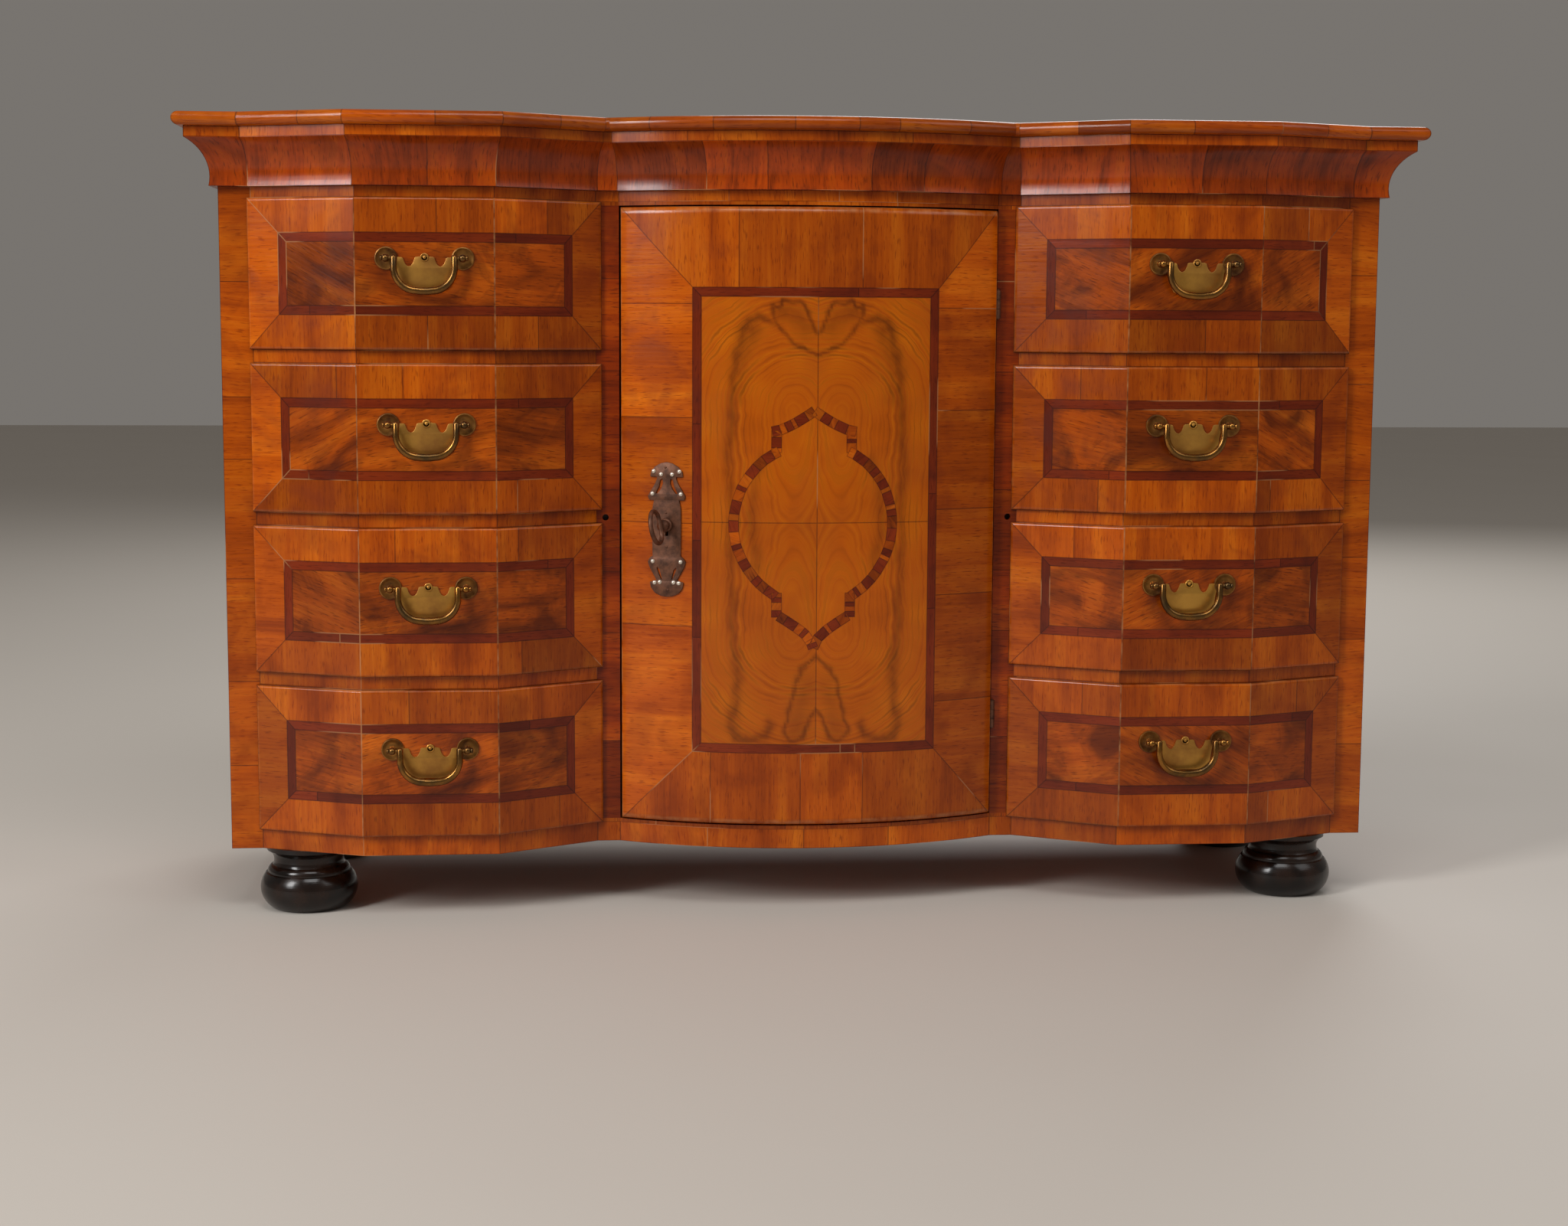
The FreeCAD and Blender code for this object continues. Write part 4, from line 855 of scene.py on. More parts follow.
class CABINET_OT_door(bpy.types.Operator):
    """Veneer the bowed door"""

    bl_idname = "cabinet.door"
    bl_label = "Door"

    # Joints of the crossbanding: heights in m at the lock and hinge sides, shares of the width at bottom and top
    side_joints = ((0.2246, 0.3046, 0.386, 0.473), (0.1639, 0.248, 0.315, 0.3918, 0.4706))
    end_joints = ((0.24, 0.47, 0.63), (0.31, 0.62))
    # Joints of the dark band, as shares of its sides in the same order
    band_joints = ((0.25, 0.46, 0.71), (0.31, 0.56), (0.6, 0.66), (0.66,))
    # Smoky outlines in the matched leaves: right half in mm from the crossing of the seams, width, strength at
    # both ends
    figure = [
        ([(30, 151), (38, 155), (45, 156), (52, 153)], 3.2, 0.5, 0.95),
        ([(52, 153), (57, 146), (60, 136), (63, 122), (65, 106), (66, 88), (68, 60), (67, 0)], 4.6, 0.95, 0.5),
        ([(50, 149), (55, 138), (59, 120), (60, 95)], 7.0, 0.65, 0.3),
        ([(0, 127), (9, 131), (19, 138), (28, 147)], 1.7, 0.9, 0.7),
        ([(28, 147), (30, 152), (33, 158), (34, 166), (29, 164), (27, 171), (21, 168), (14, 169), (8, 162),
          (4, 154), (0, 146)], 2.0, 0.95, 0.85),
        ([(8, 148), (15, 155), (22, 161), (27, 160)], 8.5, 0.5, 0.6),
        ([(46, -34), (50, 0), (48, 30), (43, 50)], 5.0, 0.55, 0.35),
        ([(67, 0), (65, -60), (64, -95), (61, -120), (62, -145), (66, -158), (62, -167), (50, -170), (40, -166),
          (34, -157)], 4.2, 0.5, 0.85),
        ([(0, -103), (9, -110), (16, -124), (21, -145), (24, -160), (19, -170), (11, -166), (5, -155), (0, -146)],
         2.0, 0.8, 0.8),
        ([(8, -125), (13, -150), (16, -162)], 8.0, 0.35, 0.5),
    ]
    figure_seed = 1  # without a seed the outlines would stray differently in every run
    # Right half of the cartouche from its apex, in mm from the crossing of the seams
    cartouche_runs = [
        [(0, 86), (9, 80), (17, 75.5), (26, 71.5), (32.5, 70)], [(29, 71), (29, 54)],
        [(27, 55), (36, 50), (45, 42), (55, 28), (60.5, 12), (62, -2), (60, -17), (53, -33), (42, -47), (29, -57)],
        [(28.5, -54), (28.5, -73)], [(27, -72), (19, -77), (9, -84), (3, -90), (0, -97)],
    ]
    # Rooms for the lock case, the bolt's way and the keyhole's slot: corners in mm right, in and up from the key
    lock_rooms = (((-27.1, 4.9, -31.1), (17.1, 17.1, 31.1)), ((-50.2, 10.3, 10.9), (-4, 15.6, 20.1)),
                  ((-1.3, -2, -8.6), (1.3, 7, 0.0)))

    def smoke(self, across, up):
        """How dark the figure is at a place on the matched leaves."""
        x, z = abs(across) / MM, up / MM
        # The outlines stray by 1 to 2 mm, in waves of 17, 14 and 5 mm; the second differs from left to right
        stray = noise.noise_vector(Vector((x / 17, z / 17, 4.0))) * 2
        stray += noise.noise_vector(Vector((across * 70, z / 14, 9.0))) * 1.6
        stray += noise.noise_vector(Vector((x / 5, z / 5, 2.0))) * 1.3
        spot = Vector((x + stray.x, z + stray.y))
        dark = 0.0
        for points, width, first, last in self.figure:
            for n, (a, b) in enumerate(zip(points, points[1:])):
                start, run = Vector(a), Vector(b) - Vector(a)
                share = min(1.0, max(0.0, (spot - start).dot(run) / run.length_squared))
                away = (spot - start - run * share).length / width
                if away < 2.2:
                    strength = first + (last - first) * (n + share) / (len(points) - 1)
                    dark = max(dark, strength * math.exp(-away * away))
        return dark

    def execute(self, context):
        plan, sizes, mounts = settings("plan", "veneer", "mounts")
        chance = random.Random("door")
        noise.seed_set(self.figure_seed)
        low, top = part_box("door_panel")
        half, high = top.x - SUNK, top.z - low.z
        radius, centre = door_circle(plan)
        inner_radius = math.hypot(centre - top.y, half)
        wide = 2 * radius * math.asin(half / radius)
        end_round, side_round = sizes.door_round, 1.2 * MM

        def place(s, z):
            side, end = min(s, wide - s), min(z, high - z)
            reach = radius - rounding(end, end_round) - rounding(side, side_round)
            angle = (s - wide / 2) / radius
            # Pale wear and a painted highlight along the side edges and on the top and bottom rounding
            wear_and_sheen = 0.5 if side < 1 * MM or abs(end - 0.4 * end_round) < 1.5 * MM else 0.0
            inside = sides[0] < s < sides[1] and ends[0] < z < ends[1]
            dark = self.smoke(s - middle[0], z - middle[1]) if inside else 0.0
            return (radius * math.sin(angle), centre - reach * math.cos(angle), low.z + z), wear_and_sheen, dark

        def back(s, z):
            x = radius * math.sin((s - wide / 2) / radius)
            return x, centre - math.sqrt(inner_radius**2 - x * x), low.z + z

        borders = (sizes.door_left, sizes.door_right, sizes.door_bottom, sizes.door_top)
        joints = [[z - low.z for z in heights] for heights in self.side_joints]
        joints += [[share * wide for share in shares] for shares in self.end_joints]
        leaves, inner = framed(wide, high, borders, joints, 0, chance)
        size = (inner[1] - inner[0], inner[3] - inner[2])
        joints = [[share * long for share in shares]
                  for shares, long in zip(self.band_joints, (size[1], size[1], size[0], size[0]))]
        bands, field = framed(*size, (sizes.band,) * 4, joints, 1, chance)
        sides = (field[0] + inner[0], field[1] + inner[0])
        ends = (field[2] + inner[2], field[3] + inner[2])
        middle = (sum(sides) / 2, sum(ends) / 2)
        leaves += inlaid(bands, inner[0], inner[2])
        for a, b in ((sides[0], middle[0]), (middle[0], sides[1])):
            for c, d in ((ends[0], middle[1]), (middle[1], ends[1])):
                leaves.append(Leaf([(a, c), (b, c), (b, d), (a, d)], 0.0, 2, chance, mirror=middle))
                leaves[-1].tone *= 0.25
        across, up = corners_of(leaves)
        across += [wide * i / 48 for i in range(49)]
        across += [0.3 * MM, side_round, wide - side_round, wide - 0.3 * MM]
        up += edge_lines(high, end_round)
        # Lines 2 mm apart carry the figure of the matched leaves
        across += [sides[0] + (sides[1] - sides[0]) * i / 90 for i in range(1, 90)]
        up += [ends[0] + (ends[1] - ends[0]) * i / 172 for i in range(1, 172)]
        work = Leafwork(across, up)
        work.lay(leaves, place)
        work.close(back, 3)
        mesh = work.mesh("door_veneered", ("crossband", "band", "flame", "front_run"))
        show(cut_out(mesh, self.rooms(plan, mounts)), "door", ["door_panel"])
        self.cartouche(sizes, radius, centre, low.z + middle[1])
        return {"FINISHED"}

    def rooms(self, plan, mounts):
        """Cutting shapes for the lock, the keyhole and the hinges' knuckles."""
        spot, out, right = key_place(plan, mounts)

        def place(x, depth, z):
            return spot + right * x - out * depth + Vector((0, 0, z))

        rooms = [block(low, high, place) for low, high in self.lock_rooms]
        bore = scaled([(0, -2), (3.8, -2), (3.8, 7), (0, 7)])
        rooms.append(turned(bore, 24, lambda a, b, h: place(a, h, b)))
        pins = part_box("hinge_pins")
        axis = (pins[0] + pins[1]) / 2
        knuckle = 2.6 * MM
        for low, top in hinge_levels():
            rooms.append(turned([(0, low), (knuckle, low), (knuckle, top), (0, top)], 24,
                                lambda a, b, h: Vector((axis.x + a, axis.y + b, h))))
        return rooms

    def cartouche(self, sizes, radius, centre, level):
        """The chequered band on the door: tiles laid end to end along a shaped outline."""
        work = Leafwork()
        chance = random.Random("cartouche")
        for sign in (1, -1):
            for run in self.cartouche_runs:
                points = [Vector((sign * x * MM, z * MM)) for x, z in run]
                self.tiles(work, smooth(points) if len(run) > 2 else points, sizes, radius, centre, level, chance)
        show(work.mesh("door_cartouche", ("band", "crossband", "burr")), "door")

    def tiles(self, work, points, sizes, radius, centre, level, chance):
        """Tiles of chance lengths along one run of the cartouche, dark and pale in turn."""
        proud, depth = 0.2 * MM, 0.5 * MM
        total = sum((b - a).length for a, b in zip(points, points[1:]))
        cuts = [0.0]
        while cuts[-1] < total:
            cuts.append(cuts[-1] + sizes.cartouche_tile * chance.uniform(0.3, 1.0))
        cuts = [c * total / cuts[-1] for c in cuts]

        def at(distance):
            for a, b in zip(points, points[1:]):
                step = (b - a).length
                if distance <= step or b is points[-1]:
                    return a.lerp(b, distance / step), (b - a).normalized()
                distance -= step

        def on_door(spot, lift):
            angle, reach = spot.x / radius, radius + lift
            return reach * math.sin(angle), centre - reach * math.cos(angle), level + spot.y

        for n, span in enumerate(zip(cuts, cuts[1:])):
            corners = []
            for distance in span:
                spot, way = at(distance)
                side = Vector((-way.y, way.x)) * sizes.cartouche_band / 2
                corners += [spot + side, spot - side]
            a, b, d, c = corners
            ring = [a, b, c, d] if (b - a).cross(c - a) > 0 else [a, d, c, b]
            tag = ("tile", len(work.points))
            over, under = ([work.point((tag, i, lift), on_door(p, lift)) for i, p in enumerate(ring)]
                           for lift in (proud, -depth))
            tile = Leaf([(p.x, p.y) for p in ring], chance.uniform(0, 3.1), 0 if n % 2 else chance.choice((1, 1, 2)),
                        chance)
            tile.tone = tile.tone * 0.8 + 0.7 if n % 2 else tile.tone - 0.3
            work.face(over, tile.slot, tile.tone, [tile.grain_at(p.x, p.y) for p in ring],
                      [tile.rims_at(p.x, p.y) for p in ring])
            work.walls(under, over, tile.slot)


# Cornice, nosing and facings


def plan_stations(plan):
    """Stations along flanks and front, from the back left to the back right: distance, place, mitre, corner."""
    back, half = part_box("top_board")[1].y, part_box("side_right")[1].x
    ridge, valley = plan.stile_plane - plan.ridge_forward, plan.stile_plane + plan.valley_back
    right = [(half, back), (half, plan.stile_plane), (plan.stile_inner, plan.stile_plane), (plan.outer_ridge, ridge),
             (plan.inner_ridge, ridge), (plan.valley_outer, valley), (plan.valley_inner, valley)]
    radius, centre = door_circle(plan)
    centre += plan.front_proud
    edge = math.asin(plan.valley_inner / radius)
    bow = [-edge + 2 * edge * i / 40 for i in range(1, 40)]
    places = [Vector((-x, y)) for x, y in right]
    places += [Vector((radius * math.sin(a), centre - radius * math.cos(a))) for a in bow]
    places += [Vector(p) for p in reversed(right)]
    ways = [(b - a).normalized() for a, b in zip(places, places[1:])]
    sides = [Vector((w.y, -w.x)) for w in ways]
    stations, distance = [], 0.0
    for i, spot in enumerate(places):
        before, after = sides[max(i - 1, 0)], sides[min(i, len(sides) - 1)]
        distance += (spot - places[i - 1]).length if i else 0.0
        corner = min(i, len(places) - 1 - i) < len(right)
        stations.append((round(distance, 7), spot, (before + after) / (1 + before.dot(after)), corner))
    return stations


def moulding(name, stations, profile, level, leaf, backing, grain=math.pi / 2, stacked=False, replaced=(),
             finish="crossband", tone=0.0):
    """A veneered moulding or facing along part of the plan: leaves laid side by side, a closed back behind.

    The profile has (out, up) pairs. Stacked leaves lie one above the other.
    """
    chance = random.Random(name)
    marks = [s[0] - stations[0][0] for s in stations]
    rows = [(*spot, *mitre) for _, spot, mitre, _ in stations]
    rise = [0.0]
    for a, b in zip(profile, profile[1:]):
        rise.append(round(rise[-1] + math.dist(a, b), 7))
    long, high = marks[-1], rise[-1]
    ends = [0.0, high] if stacked else [mark for mark, s in zip(marks, stations) if s[3]]
    joints = [ends[0]]
    for a, b in zip(ends, ends[1:]):
        count = max(1, round((b - a) / leaf))
        joints += [a + (b - a) * (i + chance.uniform(-0.25, 0.25)) / count for i in range(1, count)] + [b]
    leaves = []
    for a, b in zip(joints, joints[1:]):
        box = [(0, a), (long, a), (long, b), (0, b)] if stacked else [(a, 0), (b, 0), (b, high), (a, high)]
        leaves.append(Leaf(box, grain + chance.uniform(-0.12, 0.12), 0, chance))
        leaves[-1].tone += tone

    def spot(s, out, z):
        x, y, mx, my = between(s, marks, rows)
        return x + mx * out, y + my * out, level + z

    across, up = corners_of(leaves)
    work = Leafwork(marks + across, rise + up)
    work.lay(leaves, lambda s, t: (spot(s, *between(t, rise, profile)), 0.0))
    foot, head = profile[0][1], profile[-1][1]
    work.close(lambda s, t: spot(s, backing, foot + (head - foot) * t / high), 0)
    # Steps round a moulding turn by 15 degrees at most, the ridges in plan by 23 or more
    show(work.mesh(name, [finish], 19), "carcass", replaced)


def arc(a, b, c, steps):
    """Points on the circle through three points."""
    (ax, ay), (bx, by), (cx, cy) = a, b, c
    d = 2 * (ax * (by - cy) + bx * (cy - ay) + cx * (ay - by))
    x = ((ax**2 + ay**2) * (by - cy) + (bx**2 + by**2) * (cy - ay) + (cx**2 + cy**2) * (ay - by)) / d
    y = ((ax**2 + ay**2) * (cx - bx) + (bx**2 + by**2) * (ax - cx) + (cx**2 + cy**2) * (bx - ax)) / d
    radius = math.dist((x, y), a)
    first, middle, last = (math.atan2(q - y, p - x) for p, q in (a, b, c))
    turn = (last - first) % math.tau
    if (middle - first) % math.tau > turn:
        turn -= math.tau
    angles = [first + turn * i / steps for i in range(steps + 1)]
    return [(x + radius * math.cos(angle), y + radius * math.sin(angle)) for angle in angles]


class CABINET_OT_mouldings(bpy.types.Operator):
    """Run the cornice and the nosing round the cabinet and face its front edges"""

    bl_idname = "cabinet.mouldings"
    bl_label = "Cornice and facings"

    # The cove in section, out from the carcass and up from its foot: foot, hollow, fillet
    cove = ((6.1 * MM, 0.0), (10.6 * MM, 24.9 * MM), (21.6 * MM, 35 * MM))
    fillet_foot = 35.3 * MM  # the fillet's facing begins just over the cove
    nosing_foot = 12 * MM  # the nosing's underside begins this far out, behind the fillet
    core = -20 * MM  # the cornice's back lies this far inside the carcass's plan
    skin = 0.12 * MM  # facings stand proud of the carcass by this
    ply = -1.5 * MM  # and reach this far into it

    def execute(self, context):
        plan, sizes = settings("plan", "veneer")
        stations = plan_stations(plan)
        front = [s for s in stations if s[1].y < 0]
        low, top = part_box("cornice_front")
        nose_low, nose_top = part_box("top_nosing")
        reach, tall = nose_top.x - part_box("side_right")[1].x, nose_top.z - nose_low.z
        lift, skin, ply = sizes.nosing_lift, self.skin, self.ply
        fillet, head = self.cove[2][0], top.z - low.z + lift
        moulding("cornice_veneered", stations, arc(*self.cove, 12) + [(fillet, head)], low.z, leaf=65 * MM,
                 backing=self.core, replaced=["cornice_front", "cornice_return_left", "cornice_return_right"],
                 finish="cove")
        bead = (tall - lift) / 2
        nose = arc((reach - bead, lift), (reach, lift + bead), (reach - bead, tall), 12)
        moulding("nosing_veneered", stations, [(self.nosing_foot, lift), *nose, (0.0, tall)], nose_low.z,
                 leaf=45 * MM, backing=-SUNK, grain=0.0, replaced=["top_nosing"], tone=-0.5)
        edge = fillet + skin
        moulding("fillet_facing", stations, [(edge, self.fillet_foot), (edge, head - SUNK)], low.z, leaf=85 * MM,
                 backing=fillet + ply)

        def facing(name, run, under, above, **options):
            moulding(name, run, [(skin, 0.0), (skin, above - under)], under, backing=ply, **options)

        def front_box(row, side="right"):
            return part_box(f"drawer_{side}_{row}_front")

        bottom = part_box("bottom_board")[0].z
        inside = [s for s in front if abs(s[1].x) < plan.stile_inner + CLOSE]
        facing("bottom_strip_facing", inside, bottom, front_box(4)[0].z - SLIT, leaf=75 * MM)
        facing("frieze_facing", inside, front_box(1)[1].z + SLIT, low.z, leaf=80 * MM)
        for side, sign in SIDES.items():
            stile = [s for s in front if sign * s[1].x > plan.stile_inner - CLOSE]
            facing(f"stile_facing_{side}", stile, bottom, low.z, leaf=75 * MM, grain=0.0, stacked=True)
            bank = [s for s in inside if sign * s[1].x > plan.valley_outer - CLOSE]
            for row in ROWS[1:]:
                under, above = front_box(row, side)[1].z + SLIT, front_box(row - 1, side)[0].z - SLIT
                facing(f"rail_facing_{side}_{row}", bank, under, above, leaf=70 * MM)
        return {"FINISHED"}


# Turned, bent and sawn pieces


def scaled(pairs):
    """Pairs in mm as pairs in m."""
    return [(a * MM, b * MM) for a, b in pairs]


def mirrored(half, middle=()):
    """A whole outline from its one half and what lies on the middle line between the halves."""
    return [*half, *middle, *((-x, z) for x, z in reversed(half))]


def block(low, high, place):
    """Points and faces of a block between two corners in mm, placed by a function."""
    points = [place(x * MM, y * MM, z * MM) for z in (low[2], high[2]) for y in (low[1], high[1])
              for x in (low[0], high[0])]
    return points, [[0, 2, 3, 1], [4, 5, 7, 6], [0, 1, 5, 4], [2, 6, 7, 3], [0, 4, 6, 2], [1, 3, 7, 5]]


def turned(profile, steps, place):
    """Points and faces of a turned piece: (radius, height) pairs from end to end, placed by a function."""
    points, faces, rings = [], [], []
    for radius, height in profile:
        if radius < 1e-7:
            rings.append([len(points)] * steps)
            points.append(place(0.0, 0.0, height))
            continue
        rings.append([len(points) + i for i in range(steps)])
        for i in range(steps):
            angle = math.tau * i / steps
            points.append(place(radius * math.cos(angle), radius * math.sin(angle), height))
    for low, top in zip(rings, rings[1:]):
        for i in range(steps):
            j = (i + 1) % steps
            faces.append(list(dict.fromkeys((low[i], low[j], top[j], top[i]))))
    return points, faces


def outward(spot):
    """Places turned work with its axis pointing out of the drawer fronts."""
    return lambda a, b, h: spot + Vector((a, -h, b))


def tube(path, radii, steps=16, closed=False):
    """Points and faces of a round bar along a path."""
    count = len(path)
    points, faces = [], []
    normal = None
    for i, spot in enumerate(path):
        before = path[i - 1] if closed or i else path[0]
        after = path[(i + 1) % count] if closed or i < count - 1 else path[-1]
        way = (after - before).normalized()
        if normal is None:
            normal = way.orthogonal().normalized()
        normal = (normal - way * normal.dot(way)).normalized()
        side = way.cross(normal)
        for n in range(steps):
            angle = math.tau * n / steps
            points.append(spot + (normal * math.cos(angle) + side * math.sin(angle)) * radii[i])
    for i in range(count if closed else count - 1):
        j = (i + 1) % count
        for n in range(steps):
            m = (n + 1) % steps
            faces.append([i * steps + n, i * steps + m, j * steps + m, j * steps + n])
    if not closed:
        faces += [list(range(steps))[::-1], [(count - 1) * steps + n for n in range(steps)]]
    return points, faces


def sawn(outlines, thickness, bevel, place):
    """Points and faces of a flat plate with holes, its edges eased; outlines as (x, z) in metres."""
    curve = bpy.data.curves.new("sawn_plate", "CURVE")
    curve.dimensions = "2D"
    curve.fill_mode = "BOTH"
    curve.extrude = thickness / 2 - bevel
    curve.bevel_depth = bevel
    curve.bevel_resolution = 1
    for outline in outlines:
        spline = curve.splines.new("POLY")
        spline.points.add(len(outline) - 1)
        for point, (x, z) in zip(spline.points, outline):
            point.co = (x, z, 0.0, 1.0)
        spline.use_cyclic_u = True
    helper = placed("sawn_plate", curve)
    mesh = evaluated(helper)
    points = [place(v.co.x, v.co.y, v.co.z + thickness / 2) for v in mesh.vertices]
    faces = [list(p.vertices) for p in mesh.polygons]
    bpy.data.objects.remove(helper)
    bpy.data.meshes.remove(mesh)
    bpy.data.curves.remove(curve)
    return points, faces


def gather(name, parts, finishes, crease=35):
    """One mesh out of several lists of points and faces, each with the number of its finish."""
    points, faces, slots = [], [], []
    for (some, rings), slot in parts:
        faces += [[i + len(points) for i in ring] for ring in rings]
        slots += [slot] * len(rings)
        points += [tuple(p) for p in some]
    mesh = mesh_of(name, points, faces, slots, finishes)
    work = bmesh.new()
    work.from_mesh(mesh)
    bmesh.ops.remove_doubles(work, verts=work.verts, dist=CLOSE)
    bmesh.ops.recalc_face_normals(work, faces=work.faces)
    work.to_mesh(mesh)
    work.free()
    mesh.set_sharp_from_angle(angle=math.radians(crease))
    return mesh


class CABINET_OT_handles(bpy.types.Operator):
    """Cut the brass handle plates, turn their posts and bend their bails"""

    bl_idname = "cabinet.handles"
    bl_label = "Handles"

    # Right half of a plate's outline from its middle, in mm from the line of the posts
    outline = [(3.2, 1.0), (6.0, 0.8), (6.9, 0.4), (7.4, -1.4), (8.4, -3.8), (9.8, -5.7), (11.7, -6.5), (13.6, -5.6),
               (15.0, -3.8), (15.9, -1.4), (16.3, 0.0), (17.2, 0.4), (21.5, 0.6), (21.6, -4.0), (20.9, -7.4),
               (20.4, -11.0), (19.9, -14.6), (19.0, -18.4), (17.7, -20.8), (15.6, -21.9)]
    # Turned profiles in mm: a roundel's rim as inset and height, the rest as radius and height
    rim = [(0, 0), (0, 1.1), (0.3, 1.7), (0.9, 1.9), (1.6, 1.6), (2.6, 1.2)]
    post = [(4.4, 1.0), (3.0, 1.3), (2.3, 2.4), (1.7, 4.2), (1.7, 5.6)]
    boss = [(0, 0), (3.2, 0), (3.2, 1.5), (0, 1.5)]
    nail = [(0, -0.3), (1.3, 0), (1.1, 0.5), (0.6, 0.8), (0, 0.9)]
    # A bail's pin as radius and height over its length
    pin = [(1.3, -1.9), (1.9, -1.5), (2.1, -0.7), (1.5, 0), (0, 0.3)]
    eye_level = 0.7 * MM  # the little ring at a plate's top stands this far over the posts' line

    def execute(self, context):
        plan, mounts = settings("plan", "mounts")
        face = plan.stile_plane - plan.front_proud - plan.ridge_forward
        for side, sign in SIDES.items():
            for row in ROWS:
                low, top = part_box(f"drawer_{side}_{row}_front")
                level = (low.z + top.z) / 2 + mounts.post_rise
                middle = Vector((sign * (plan.outer_ridge + plan.inner_ridge) / 2, face, level))
                self.plate(f"{side}_{row}", middle, mounts)
                self.bail(f"{side}_{row}", middle, mounts)
        return {"FINISHED"}

    def plate(self, tag, middle, mounts):
        """The sawn plate with its little ring, and the two roundels with their posts."""
        shape = mirrored(scaled(self.outline))
        parts = [(sawn([shape], mounts.plate, 0.45 * MM, lambda x, z, out: middle + Vector((x, SUNK - out, z))), 0)]
        roundel = [(0, 0)] + [(mounts.roundel - a, h) for a, h in scaled(self.rim)] + scaled(self.post)
        knob = 2.9 * MM
        turns = [math.pi * i / 10 for i in range(11)]
        ball = [(knob * math.sin(turn), -knob * math.cos(turn)) for turn in turns]
        for way in (-1, 1):
            foot = middle + Vector((way * mounts.post_spacing / 2, SUNK, 0))
            parts.append((turned(roundel, 28, outward(foot)), 1))
            parts.append((turned(ball, 18, outward(foot + Vector((0, -mounts.post_reach, 0)))), 2))
        eye = middle + Vector((0, 0, self.eye_level))
        ring = eye + Vector((0, -mounts.plate, 0))
        turns = [math.tau * i / 24 for i in range(24)]
        loop = [ring + Vector((math.cos(turn), 0, math.sin(turn))) * (2.7 * MM) for turn in turns]
        parts.append((turned(scaled(self.boss), 24, outward(eye)), 0))
        parts.append((tube(loop, [0.55 * MM] * 24, 8, True), 0))
        parts.append((turned(scaled(self.nail), 12, outward(ring)), 0))
        mesh = gather(f"handle_plate_{tag}_brass", parts, ["brass", "roundel", "bail"])
        show(mesh, f"drawer_{tag}", [f"handle_plate_{tag}"])

    def bail(self, tag, middle, mounts):
        """The swinging bail: a bar that swells towards its middle, and two pins into the posts."""
        pivot = middle + Vector((0, -mounts.post_reach, 0))
        half, drop, rod = mounts.bail_half, mounts.bail_drop, mounts.bail_rod
        bend, swell = 17 * MM, 0.55 * MM
        # Left half as (x, z), from the crown of its leg
        crown = [(-half, 2.4 * MM), (-half, 2 * MM)]
        leg = [(-half, 0.9 * MM), (-half, -0.4 * drop), (-half, bend - drop)]
        for i in range(1, 9):
            angle = math.pi / 2 * i / 8
            leg.append((bend * (1 - math.cos(angle)) - half, bend * (1 - math.sin(angle)) - drop))
        leg.append((-3 * MM, -drop - 0.35 * MM))
        low = (0, -drop - 0.4 * MM)
        path = [pivot + Vector((x, 0, z)) for x, z in mirrored(crown + leg, [low])]
        radii = [0.9 * MM, 1.7 * MM] + [rod + swell * min(1.0, max(0.0, -z / drop)) ** 2 for _, z in leg]
        parts = [(tube(path, radii + [rod + swell] + radii[::-1]), 0)]
        long = mounts.post_spacing / 2 + 4.2 * MM - half
        stub = [(0, 0), (self.pin[0][0] * MM, 0)] + [(r, long + h) for r, h in scaled(self.pin)]
        for way in (-1, 1):
            start = pivot + Vector((way * half, 0, 0))
            parts.append((turned(stub, 14, lambda a, b, h: start + Vector((way * h, a, b))), 0))
        show(gather(f"bail_{tag}_brass", parts, ["bail"], 60), f"bail_{tag}", [f"bail_{tag}"])


